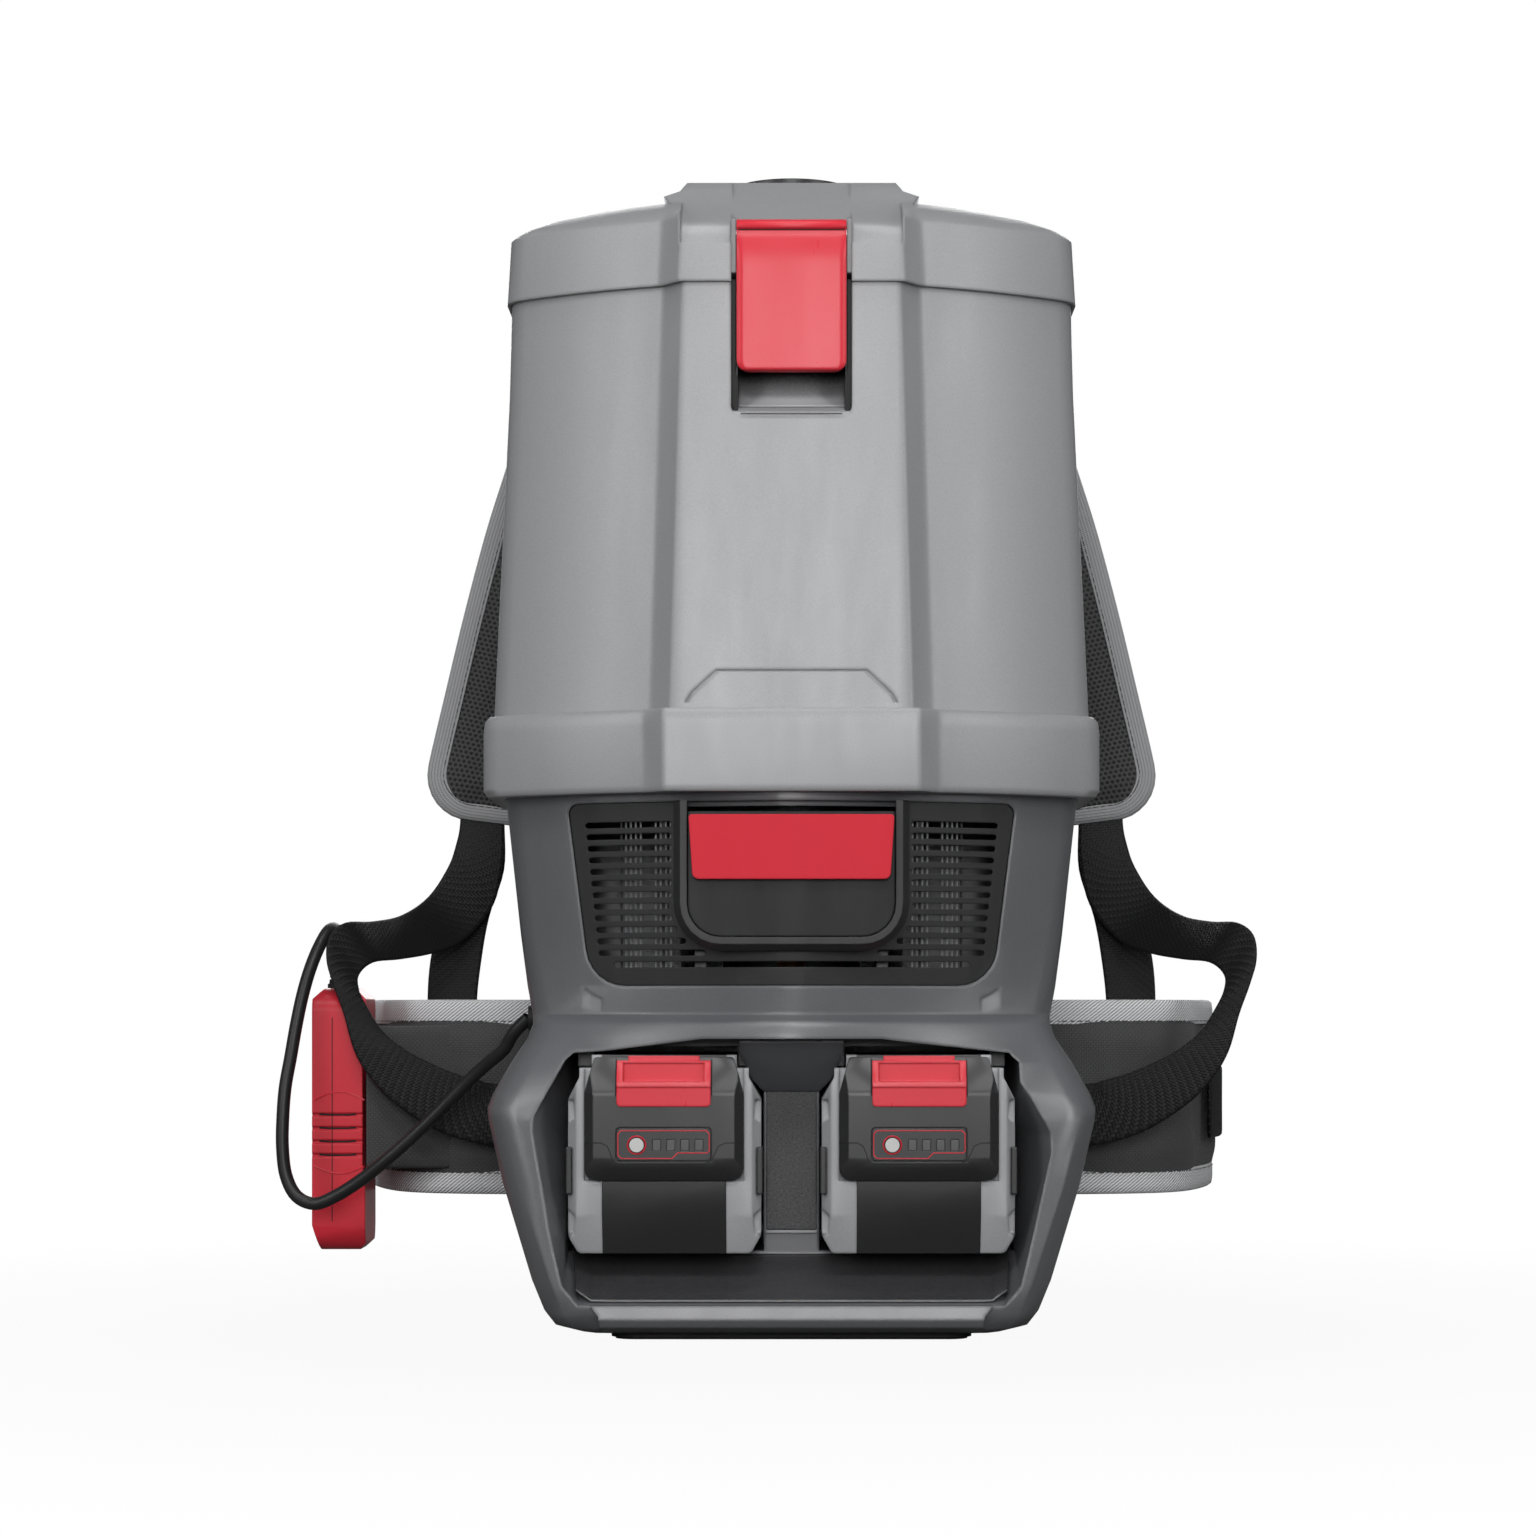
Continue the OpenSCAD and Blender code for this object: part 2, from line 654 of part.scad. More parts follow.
// Half outline with a nearly straight front and elliptic corners
function flat_half(half_w, front, back, inset) =
    let (rx = 22, ry = 36)
    concat([for (i = [0:6]) [mix(6, half_w - rx, i / 6), front + inset + 2 * pow(i / 6, 2)]],
        [for (a = [-63, -42, -21, 0]) [half_w - rx + (rx - inset) * cos(a), front + ry + (ry - inset) * sin(a)]],
        arc([half_w - rear_r, back - rear_r], rear_r - inset, 0, 90, 6));

function base_ring(l, inset, z = undef) =
    let (bowed = body_half(l[1], l[2], back_y, 0, inset), flat = flat_half(l[1], l[2], back_y, inset))
    at_z(mirrored([for (i = [0:len(bowed) - 1]) mix(bowed[i], flat[i], l[3])]), z == undef ? l[0] : z);

function base_rings(inset) = [for (l = base_levels) base_ring(l, inset)];

// Inside of the motor chamber
chamber_z = waist_z + 14;
chamber_levels = [for (l = base_levels) if (l[0] >= waist_z + 10) l];

function chamber_rings(inset) = concat(
    [base_ring([chamber_z, waist_w / 2 + 2.6, base_front + 4, 0.12], inset)],
    [for (l = chamber_levels) if (l[0] > chamber_z + 1 && l[0] < base_top) base_ring(l, inset)],
    [base_ring(chamber_levels[len(chamber_levels) - 1], inset, base_top + 1)]);

// Gland where the control cord enters the housing
gland_d = cord_d + 6;
gland_x = -waist_w / 2 - 8;
gland_seat = -waist_w / 2 + 6;
gland_y = 30;
gland_z = 158;

// Packs and their slots
pack_z = 42.2;
pack_front = front_y + 12;
pack_back = pack_front + pack_l;
slot_top = 149;
slot_back = pack_back + 8;

// Mouth of the battery bay seen from the front, and the chamber that it leads to
mouth = [[-104, 17.8], [104, 17.8], [112, 27], [131, 101.6], [113, 135], [107, 140], [44, 147.9],
    [-44, 147.9], [-107, 140], [-113, 135], [-131, 101.6], [-112, 27]];
bay_w = pack_spacing + pack_w + 2.5;
bay = [[-bay_w / 2 + 4, pack_z - 2], [bay_w / 2 - 4, pack_z - 2], [bay_w / 2, pack_z + 2],
    [bay_w / 2, 101.6], [bay_w / 2, 138], [bay_w / 2 - 3, 142], [44, 147.9],
    [-44, 147.9], [-bay_w / 2 + 3, 142], [-bay_w / 2, 138], [-bay_w / 2, 101.6], [-bay_w / 2, pack_z + 2]];
mouth_y = base_front + 5;
bay_y = base_front + 42;

grille_top = collar_z - 4;
grille_set = 0.7;

function grille_outline(grow) = rounded([
    [-grille_bottom_w / 2 - grow, grille_z - grow], [grille_bottom_w / 2 + grow, grille_z - grow],
    [grille_top_w / 2 + grow, grille_top + grow], [-grille_top_w / 2 - grow, grille_top + grow]],
    [20, 20, 5, 5], 6);

// Groove between each side pillar and the frame of the grille, which fades out towards the waist
groove_d = 3;
groove_w = 6.4;
groove_gap = 6.8;
groove_top = grille_top - 6;
pillar_top = groove_top - 9;

function groove_rings() = [for (l = base_levels) if (l[0] > waist_z - 2)
    base_ring(l, groove_d * min(1, max(0, (l[0] - waist_z - 2) / (200 - waist_z))))];

module groove_outline() {
    difference() {
        polygon(grille_outline(groove_gap + groove_w));
        polygon(grille_outline(groove_gap));
        translate([-200, groove_top]) square([400, 40]);
        translate([-grille_bottom_w / 2 + 6, 0]) square([grille_bottom_w - 12, groove_top - 20]);
    }
    for (side = [-1, 1]) translate([side > 0 ? grille_top_w / 2 + groove_gap + 1 : -200, pillar_top])
        square([200 - grille_top_w / 2 - groove_gap - 1, groove_top - pillar_top]);
}

// Skirting below the bay, with chamfered ends
skirt_top = 17.8;
skirt_crease = 12.6;
skirt_x = 97;

module skirting() {
    intersection() {
        side_prism([[base_front + 8, base_z0 + 1], [base_front + 1, base_z0 + 1], [base_front - 6, base_z0 + 4],
            [base_front - 8, skirt_crease - 1], [base_front - 7.4, skirt_crease], [base_front - 4.6, skirt_top],
            [base_front + 8, skirt_top]], -skirt_x - 3, skirt_x + 3);
        front_prism([[-skirt_x + 4, base_z0], [skirt_x - 4, base_z0], [skirt_x - 3, skirt_crease],
            [skirt_x + 2, skirt_top + 1], [-skirt_x - 2, skirt_top + 1], [-skirt_x + 3, skirt_crease]],
            base_front - 20, base_front + 20);
    }
}

module base_housing() color(dark_grey) {
    difference() {
        union() {
            loft(base_rings(0));
            skirting();
        }
        difference() {
            front_prism_of(front_y - 40, front_y + 40) groove_outline();
            loft(groove_rings());
        }
        loft(chamber_rings(base_wall));
        // Seat and opening of the grille
        difference() {
            front_prism(grille_outline(0), front_y - 40, front_y + 60);
            loft(chamber_rings(grille_t + grille_set + 0.1));
        }
        front_prism(grille_outline(-2.5), front_y - 40, front_y + 50);
        // Battery bay with one slot for each pack
        loft([at_y(bay, bay_y), at_y(mouth, mouth_y), at_y(mouth, front_y - 30)]);
        for (side = [-1, 1])
            box(side * pack_spacing / 2 - pack_w / 2 - 1.25, side * pack_spacing / 2 + pack_w / 2 + 1.25,
                bay_y - 8, slot_back, pack_z - slide_gap, slot_top);
        // Socket of the cord's gland
        rod_x(gland_d + 0.4, gland_x - 10, gland_seat, gland_y, gland_z);
        // Electronics compartment, closed by the back plate
        box(-90, 90, slot_back + 5, back_y + 1, 40, 140);
    }
}

module foot_pad() color("#1d1d1e") {
    d0 = base_front + 12;
    d1 = back_y - 8;
    difference() {
        union() {
            plan_prism(rounded(box2(-foot_w / 2, foot_w / 2, d0, d1), 12), 1, foot_t);
            plan_prism(rounded(box2(-foot_w / 2 + 2, foot_w / 2 - 2, d0 + 2, d1 - 2), 10), 0, 1);
        }
        for (i = [-2.5:2.5]) box(i * 22 - 3, i * 22 + 3, d0 + 14, d1 - 14, -1, 1.2);
    }
}

// ---------------------------------------------------------------- grille and filter drawer

door_x = door_w / 2;
door_top = collar_z - 9.5;
door_bottom = door_top - door_h;
bezel_w = 4;
bezel_y = front_y - 1.5;
door_y = front_y + 0.5;

function door_outline(grow, top = 0) = rounded([
    [-door_x - grow, door_bottom - grow], [door_x + grow, door_bottom - grow],
    [door_x + grow, door_top + top], [-door_x - grow, door_top + top]],
    [16 + grow, 16 + grow, 1, 1], 6);

// End of a slot beside the bezel, at height z
function slot_inner(z) =
    let (c = door_bottom + 16, r = 16 + bezel_w + 5)
    z > c ? door_x + bezel_w + 4.5 :
    door_x - 16 + (c - z < r ? sqrt(r * r - (c - z) * (c - z)) : -60);

function slot_outer(z) =
    mix(grille_bottom_w / 2 - 6, grille_top_w / 2 - 8, (z - grille_z) / (grille_top - grille_z))
    - (z < grille_z + 12 ? 7 : 0);

top_slot = grille_top - 11;
rib_xs = [63.2, 84.2];
rib_depth = 3;

module grille_slots() {
    for (row = [0:slot_rows - 1]) {
        z = top_slot - row * slot_pitch;
        x0 = max(0, slot_inner(z));
        x1 = slot_outer(z);
        outline = rounded(box2(x0, x1, z - slot_h / 2, z + slot_h / 2), slot_h * 0.45, 2);
        if (z > grille_z + 5 && x0 > 1)
            both_sides() front_prism(outline, front_y - 30, front_y + 60);
        if (z > grille_z + 5 && x0 <= 1)
            front_prism(rounded(box2(-x1, x1, z - slot_h / 2, z + slot_h / 2), slot_h * 0.45, 2),
                front_y - 30, front_y + 60);
    }
}

module exhaust_grille() color(black) {
    difference() {
        union() {
            intersection() {
                difference() {
                    loft(chamber_rings(grille_set));
                    loft(chamber_rings(grille_t + grille_set));
                    box(-200, 200, -200, 200, grille_top + 3, 400);
                }
                front_prism(grille_outline(-slide_gap / 2), front_y - 40, front_y + 50);
            }
            front_prism(door_outline(bezel_w, grille_top - door_top - 0.2), bezel_y, front_y + 14);
            loft([at_y(door_outline(bezel_w + 3, grille_top - door_top - 0.2), front_y + 7),
                at_y(door_outline(bezel_w + 3, grille_top - door_top - 0.2), bezel_y + 4),
                at_y(door_outline(bezel_w, grille_top - door_top - 0.2), bezel_y + 0.6)]);
        }
        front_prism(door_outline(slide_gap, 30), front_y - 40, front_y + 60);
        grille_slots();
    }
    // Ribs behind the slots
    intersection() {
        difference() {
            loft(chamber_rings(grille_t + grille_set - 0.6));
            loft(chamber_rings(grille_t + grille_set + rib_depth));
        }
        for (x = rib_xs) both_sides()
            box(x - 0.6, x + 0.6, front_y - 10, front_y + 40, grille_z + 3.5, top_slot + 4);
    }
}

frame_w = door_w - 10;
frame_z0 = door_bottom + 4;
frame_z1 = door_top - 3;
frame_y0 = door_y + 4;
frame_y1 = frame_y0 + filter_l;
duct_t = 2;
duct_front = frame_y0 + 22;

module filter_duct() color(black) {
    x = frame_w / 2 + slide_gap;
    difference() {
        box(-x - duct_t, x + duct_t, duct_front, frame_y1 + 4, chamber_z, frame_z1 + slide_gap + duct_t);
        box(-x, x, frame_y0, frame_y1 + 1, frame_z0 - slide_gap, frame_z1 + slide_gap);
        box(-x + 8, x - 8, frame_y0, frame_y1 + 6, frame_z0 + 6, frame_z1 - 6);
        box(-x + 4, x - 4, frame_y0, frame_y1 + 6, chamber_z - 1, frame_z0 - slide_gap - duct_t);
    }
}

module filter_frame() color("#3a3a3c") {
    difference() {
        box(-frame_w / 2, frame_w / 2, frame_y0, frame_y1, frame_z0, frame_z1);
        box(-frame_w / 2 + 3, frame_w / 2 - 3, frame_y0 + 3, frame_y1 + 1, frame_z0 + 3, frame_z1 - 3);
        box(-frame_w / 2 + 8, frame_w / 2 - 8, frame_y0 - 1, frame_y0 + 4, frame_z0 + 8, frame_z1 - 8);
    }
}

// Pleated pack: a zigzag seen from above
module filter_media() color("#e9e7df") {
    half = frame_w / 2 - 3.2;
    pitch = 2 * half / pleats;
    front = frame_y0 + 4;
    folds = [for (i = [0:pleats - 1]) each [[-half + i * pitch, front + 8],
        [-half + (i + 0.5) * pitch, frame_y1 - 4]]];
    plan_prism(concat(folds, [[half - 0.2, front], [-half, front]]), frame_z0 + 3.2, frame_z1 - 3.2);
}

tab_pivot_z = door_top - 3.5;
tab_y = door_y - 1.5 - tab_t;
tab_skin = 0.6;
ear_r = 1.75;
tab_pivot_y = tab_y + tab_skin + ear_r + slide_gap;
ear_x = door_w * 0.183;
ear_w = 5;

module filter_door() color(black) {
    difference() {
        union() {
            front_prism(door_outline(0), door_y, door_y + 4);
            for (side = [-1, 1])
                side_prism(concat(arc([tab_pivot_y, tab_pivot_z], ear_r, 90, 270, 10),
                    [[door_y + 0.1, tab_pivot_z - ear_r], [door_y + 0.1, tab_pivot_z + ear_r]]),
                    side * ear_x - ear_w / 2, side * ear_x + ear_w / 2);
        }
        rod_x(tab_pin_d + 2 * pin_gap, -60, 60, tab_pivot_y, tab_pivot_z);
    }
}

module pull_tab() color(red) {
    w = door_w / 2 - 0.4;
    z1 = tab_pivot_z + tab_t / 2;
    z0 = z1 - tab_h;
    difference() {
        union() {
            front_prism(rounded([[-w + 2, z0], [w - 2, z0], [w, z1], [-w, z1]], [3.2, 3.2, 1.7, 1.7]),
                tab_y, tab_y + tab_t);
            rod_x(tab_pin_d + 1.5, -ear_x - 16, ear_x + 16, tab_pivot_y, tab_pivot_z);
        }
        rod_x(tab_pin_d + 2 * pin_gap, -60, 60, tab_pivot_y, tab_pivot_z);
        for (side = [-1, 1])
            box(side * ear_x - ear_w / 2 - slide_gap, side * ear_x + ear_w / 2 + slide_gap,
                tab_y + tab_skin, tab_y + tab_t + 3, tab_pivot_z - ear_r - slide_gap, z1 + 1);
    }
}

module pull_pin() color(steel)
    rod_x(tab_pin_d, -ear_x - 14, ear_x + 14, tab_pivot_y, tab_pivot_z);

// ---------------------------------------------------------------- motor

motor_y = 16;
can_top = canister_z - 14;
motor_floor_t = 3;

module motor_can() color("#4b4c50") {
    difference() {
        translate([0, motor_y, chamber_z]) cylinder(d = motor_d, h = can_top - chamber_z);
        translate([0, motor_y, chamber_z + motor_floor_t]) cylinder(d = motor_d - 6, h = can_top - chamber_z - 8);
        translate([0, motor_y, can_top - 8]) cylinder(d = impeller_d * 0.5, h = 10);
        for (i = [0:11]) rotate_about_motor(i * 30)
            box(motor_d / 2 - 8, motor_d / 2 + 2, -7, 7, chamber_z + 8, chamber_z + 24);
    }
    // Seal between the can and the floor of the canister
    difference() {
        translate([0, motor_y, can_top]) cylinder(r = inlet_r + 9, h = canister_z - can_top);
        translate([0, motor_y, can_top - 1]) cylinder(r = inlet_r, h = canister_z - can_top + 2);
    }
}

module rotate_about_motor(a)
    translate([0, motor_y, 0]) rotate([0, 0, a]) children();

core_h = 44;

module motor_core() color("#8a5a2b") {
    translate([0, motor_y, chamber_z + motor_floor_t]) difference() {
        union() {
            cylinder(d = 54, h = core_h);
            cylinder(d = motor_d * 0.9, h = 3);
        }
        cylinder(d = shaft_d + 2 * pin_gap, h = 2 * core_h + 10, center = true);
        for (i = [0:5]) rotate([0, 0, i * 60]) translate([21, 0, 12]) cylinder(d = 7, h = core_h);
    }
}

module impeller() color("#d8d8d6") {
    hub_z = chamber_z + motor_floor_t + core_h + 3;
    translate([0, motor_y, 0]) {
        translate([0, 0, chamber_z + motor_floor_t + 4]) cylinder(d = shaft_d, h = core_h + 20);
        translate([0, 0, hub_z]) cylinder(d = impeller_d, h = 2.5);
        translate([0, 0, hub_z]) cylinder(d1 = 30, d2 = 14, h = 16);
        for (i = [0:blades - 1]) rotate([0, 0, i * 360 / blades])
            translate([0, 0, hub_z + 2]) linear_extrude(14)
                polygon(concat(arc([0, impeller_d * 0.3], impeller_d * 0.26, -80, 10, 6),
                    arc([0, impeller_d * 0.3], impeller_d * 0.26 - 1.8, 10, -80, 6)));
    }
}

// ---------------------------------------------------------------- batteries

// Plate and rails on the ceiling of each slot
pack_top = slot_top - 9;

module battery_dock() color("#222224") {
    for (side = [-1, 1]) {
        x = side * pack_spacing / 2;
        box(x - pack_w / 2 - 1, x + pack_w / 2 + 1, bay_y - 2, slot_back, slot_top - 5, slot_top);
        for (rail = [-1, 1])
            side_prism([[bay_y - 2, slot_top - 15], [slot_back, slot_top - 15], [slot_back, slot_top - 5],
                [bay_y - 2, slot_top - 5]], x + rail * 40 - 4, x + rail * 40 + 4);
        box(x - 22, x + 22, pack_back + 1, slot_back, pack_z + 34, pack_z + 66);
    }
}

module dock_contacts() color("#b88a3c") {
    for (side = [-1, 1], i = [-1.5:1:1.5])
        box(side * pack_spacing / 2 + i * 9 - 0.5, side * pack_spacing / 2 + i * 9 + 0.5,
            pack_back - 9, pack_back + 1, pack_z + 42, pack_z + 58);
}

module control_board() color("#1f6b45") {
    y = slot_back + 14;
    difference() {
        box(-74, 74, y, y + 1.6, 46, 134);
        for (x = [-68, 68], z = [52, 128]) rod_y(3.4, y - 1, y + 3, x, z);
    }
    box(-30, 6, y + 1.6, y + 12, 60, 92);
    box(20, 48, y + 1.6, y + 9, 66, 84);
    for (i = [0:4]) rod_y(10, y + 1.6, y + 16, -56 + i * 14, 112);
    // Pillars to the front wall of the compartment
    for (x = [-68, 68], z = [52, 128]) rod_y(8, slot_back + 5, y, x, z);
}

// One pack, built about the middle of its own width
side_w = (pack_w - core_w) / 2;
chin = [[pack_front, pack_top], [pack_front, 62], [pack_front + 8, pack_z], [pack_back, pack_z],
    [pack_back, pack_top]];

module pack_section(x0, x1) side_prism(chin, x0, x1);

module rail_slots() {
    for (rail = [-1, 1])
        box(rail * 40 - 4 - slide_gap, rail * 40 + 4 + slide_gap, pack_front - 30, pack_back + 1,
            slot_top - 15 - slide_gap, slot_top + 4);
}

module pack_shell() color("#6f7176") {
    w = pack_w / 2;
    difference() {
        intersection() {
            pack_section(-w, w);
            front_prism(rounded([[-w + 5, pack_z], [w - 5, pack_z], [w, pack_z + 9], [w, 118], [w - 6, 129],
                [w - 6, pack_top], [-w + 6, pack_top], [-w + 6, 129], [-w, 118], [-w, pack_z + 9]], 3, 3),
                pack_front - 1, pack_back + 1);
            plan_prism([[-w, pack_back + 1], [-w, pack_front + 7], [-w + 4.5, pack_front],
                [w - 4.5, pack_front], [w, pack_front + 7], [w, pack_back + 1]], pack_z - 1, pack_top + 1);
        }
        box(-core_w / 2, core_w / 2, pack_front - 1, pack_back + 1, pack_z - 1, pack_top + 1);
        box(-cap_w / 2 - 0.2, cap_w / 2 + 0.2, pack_front - 1, cap_seat, cap_z - 0.2, pack_top + 1);
        rail_slots();
        // Grip pockets in the side trims
        for (side = [-1, 1], m = [-1, 1]) front_prism([for (p = [[w - 4, 24], [w + 1, 20], [w + 1, 33], [w - 3, 33]])
            [side * p[0], 85 + m * p[1]]], pack_front - 1, pack_front + 9);
    }
}

module pack_core() color("#333335") {
    difference() {
        pack_section(-core_w / 2, core_w / 2);
        box(-core_w / 2 + 2.4, core_w / 2 - 2.4, pack_front + 10, pack_back - 12, pack_z + 3, pack_top - 12);
        box(-cap_w / 2, cap_w / 2, pack_front - 1, cap_seat, cap_z - 0.2, pack_top + 1);
        for (i = [-1.5:1:1.5])
            box(i * 9 - 1, i * 9 + 1, pack_back - 11, pack_back + 1, pack_z + 40, pack_z + 60);
    }
}

cell_h = 70;

module pack_cells() color("#2f6fb3") {
    for (i = [-1:1], row = [0:3])
        translate([i * cell_d, pack_front + 21 + row * cell_d * 1.01, pack_z + 3.2])
            cylinder(d = cell_d - 0.3, h = cell_h);
}

cap_z = 78.4;
cap_top = pack_top - 1;
cap_front = pack_front - 7;
cap_seat = pack_front + 3;
ridge_z = 121.4;

cap_flank = 4.5;

// Outline of the cap, drawn in by g round its front
function cap_outline(g) = let (w = cap_w / 2 - g) rounded([[-w, cap_z + g * 1.3], [w, cap_z + g * 1.3],
    [w, ridge_z], [w - 4.8 + g * 0.4, cap_top], [-w + 4.8 - g * 0.4, cap_top], [-w, ridge_z]],
    [6, 6, 2, 2, 2, 2]);

module pack_cap() color(black) {
    w = cap_w / 2;
    difference() {
        intersection() {
            side_prism([[cap_front, cap_z], [cap_seat - 0.2, cap_z], [cap_seat - 0.2, cap_top],
                [cap_front + 8, cap_top], [cap_front + 0.6, ridge_z + 1.5], [cap_front, ridge_z - 1.5]], -w, w);
            loft([at_y(cap_outline(0), cap_seat + 1), at_y(cap_outline(0), cap_front + cap_flank),
                at_y(cap_outline(cap_flank), cap_front - 0.1)]);
        }
        // Well of the release, with room for its travel
        box(-release_w / 2 - slide_gap, release_w / 2 + slide_gap, cap_front - 1, cap_seat - 2.2,
            release_z0 - release_travel - slide_gap, pack_top + 1);
        // Seat of the gauge panel
        front_prism(rounded(box2(-release_w / 2 - 0.4, release_w / 2 + 0.4, 88, 104.6), 2), cap_front - 1,
            cap_front + 1);
        rod_y(gauge_button_d + 2 * slide_gap, cap_front - 1, cap_front + 4, -13.2, 96);
    }
}

release_z0 = 124.3;
release_z1 = 137.3;

module pack_release() color(red) {
    w = release_w / 2;
    difference() {
        union() {
            side_prism([[cap_front - 1.6, release_z0], [cap_seat - 2.6, release_z0], [cap_seat - 2.6, release_z1],
                [cap_front + 4, release_z1], [cap_front - 1.6, release_z0 + 2.6]], -w, w);
            // Skirt that hides the well
            front_prism(rounded(box2(-w, w, 114.8, release_z0 + 1), [2, 2, 0, 0], 3), cap_front - 1.2, cap_front - 0.3);
            // Hook strip
            box(-w * 0.76, w * 0.76, cap_seat - 5, cap_seat - 2.6, release_z1 - 1, pack_top - 0.4);
        }
        // Finger pocket
        side_prism([[cap_front - 3, release_z0 + 2.8], [cap_front + 4, release_z0 + 2.8],
            [cap_front + 4, release_z1 - 1.2], [cap_front - 3, release_z1 - 1.2]], -w + 3.2, w - 3.2);
    }
}

module gauge_panel() color("#38383a") {
    w = release_w / 2;
    difference() {
        front_prism(rounded(box2(-w, w, 88.4, 104.2), 1.8), cap_front - 0.2, cap_front + 1);
        rod_y(gauge_button_d + 2 * slide_gap, cap_front - 1, cap_front + 3, -13.2, 96);
        for (i = [0:3]) box(-5.4 + i * 6.9, -1.4 + i * 6.9, cap_front - 1, cap_front + 0.1, 93.3, 98.7);
    }
}

module gauge_button() color("#d8d8d8")
    rod_y(gauge_button_d, cap_front - 0.9, cap_front + 2.6, -13.2, 96);

module at_pack(side) translate([side * pack_spacing / 2, 0, 0]) children();

// ---------------------------------------------------------------- harness

belt_y = 106;
plate_y0 = back_y;
plate_y1 = back_y + plate_t;
plate_z0 = 46;
plate_z1 = 478;

module back_plate() color("#232325") {
    difference() {
        front_prism(rounded([[-plate_w / 2 + 6, plate_z0], [plate_w / 2 - 6, plate_z0], [plate_w / 2, plate_z0 + 110],
            [plate_w / 2 - 26, plate_z1], [-plate_w / 2 + 26, plate_z1], [-plate_w / 2, plate_z0 + 110]],
            [18, 18, 30, 24, 24, 30]), plate_y0, plate_y1);
        for (x = [-62, 62], z = [plate_z0 + 12, 250, plate_z1 - 16]) rod_y(5, plate_y0 - 1, plate_y1 + 1, x, z);
        for (i = [-2:2]) front_prism(rounded(box2(i * 26 - 7, i * 26 + 7, 290, 400), 6.5),
            plate_y0 - 1, plate_y1 + 1);
    }
    // Boss that carries the hip belt
    front_prism(rounded(box2(-70, 70, 84, 146), 10), plate_y1, belt_y - belt_t / 2 - 0.3);
}

// Ring of a padded band: centre, direction of its width, half width and half thickness
function pad_ring(c, u, n, hw, ht) = [for (i = [0:11])
    let (a = i * 30 + 15, s = cos(a), t = sin(a))
    c + u * (hw * sign(s) * pow(abs(s), 0.45)) + n * (ht * sign(t) * pow(abs(t), 0.7))];

function tangent(path, i) =
    unit(path[min(i + 1, len(path) - 1)] - path[max(i - 1, 0)]);

// Back cushion with two upright channels
module back_pad() color("#2c2c2e") {
    levels = [[0.3, 0.94], [5, 1], [14, 1], [19, 0.95], [22, 0.86]];
    outline = rounded([[-84, 170], [84, 170], [92, 215], [80, 392], [-80, 392], [-92, 215]],
        [26, 26, 40, 30, 30, 40], 5);
    mid = [0, 281];
    difference() {
        loft([for (i = [len(levels) - 1:-1:0])
            at_y([for (p = outline) mid + (p - mid) * levels[i][1]], plate_y1 + levels[i][0])]);
        for (x = [-30, 30]) translate([x, plate_y1 + 27, 100]) cylinder(r = 9, h = 340);
    }
}

// Route of the middle of the right shoulder pad, with half its width
pad_root_y = plate_y1 + shoulder_pad_t / 2 + 0.3;
shoulder_route = [[56, pad_root_y, 414, 29], [62, pad_root_y + 2, 446, 30], [76, 122, 478, 32], [92, 146, 498, 34],
    [106, 170, 501, 35], [118, 188, 486, 36], [127, 197, 458, 37], [138, 200, 425, 37], [150, 200, 380, 37],
    [162, 200, 330, 37], [169, 199, 300, 37], [171, 198, 286, 34], [172, 198, 275, 27], [172, 198, 269, 15]];

module shoulder_pad() {
    path = [for (s = shoulder_route) [s[0], s[1], s[2]]];
    loft([for (i = [0:len(path) - 1])
        let (t = tangent(path, i), u = unit([1, 0, 0] - t * t[0]), n = cross(t, u))
        pad_ring(path[i], u, n, shoulder_route[i][3] * shoulder_pad_w / 74,
            shoulder_pad_t / 2 * (i > 11 ? 0.7 : 1))]);
}

// Edges of the left strap loop, from the pad's end round the wearer's side to the back plate
loop_outer = [[-189, 197, 268.4], [-191, 193, 256], [-195, 187, 243], [-205, 176, 226], [-218, 154, 215],
    [-232, 131, 211], [-244, 113, 210], [-252, 105, 203], [-253, 99, 190], [-249, 96, 176], [-243, 94, 160],
    [-237, 92, 140], [-228, 91, 125], [-213, 90, 110], [-188, 90, 95], [-160, 92, 88], [-126, 96, 88],
    [-100, 97.7, 88]];
loop_inner = [[-164, 197, 268.4], [-164, 193, 248], [-169, 187, 222], [-184, 176, 202], [-199, 154, 194],
    [-216, 131, 190], [-229, 113, 188], [-236, 106, 181], [-235, 100, 172], [-230, 96, 163], [-222, 94, 151],
    [-210, 92, 141], [-197, 91, 134], [-183, 90, 128], [-169, 90, 124], [-160, 92, 122], [-126, 96, 120],
    [-100, 97.7, 120]];

// Ribbon between two edges
module ribbon(a, b, t) {
    mid = [for (i = [0:len(a) - 1]) (a[i] + b[i]) / 2];
    loft([for (i = [0:len(a) - 1])
        let (n = unit(cross(tangent(mid, i), b[i] - a[i])) * t / 2)
        [a[i] - n, a[i] + n, b[i] + n, b[i] - n]]);
}

tail_outer = [[-188, 203, 268], [-192, 199, 242], [-200, 193, 215], [-205, 187, 190], [-206, 181, 165],
    [-204, 178, 140]];
tail_inner = [[-164, 203, 268], [-164, 199, 242], [-172, 193, 215], [-176, 187, 190], [-178, 181, 165],
    [-176, 178, 140]];

module strap() {
    ribbon(loop_outer, loop_inner, webbing_t);
    ribbon(tail_outer, tail_inner, webbing_t);
}

// Ladder buckles stitched to the ends of the shoulder pads
buckle_back = 199 + shoulder_pad_t / 2 + 0.3;

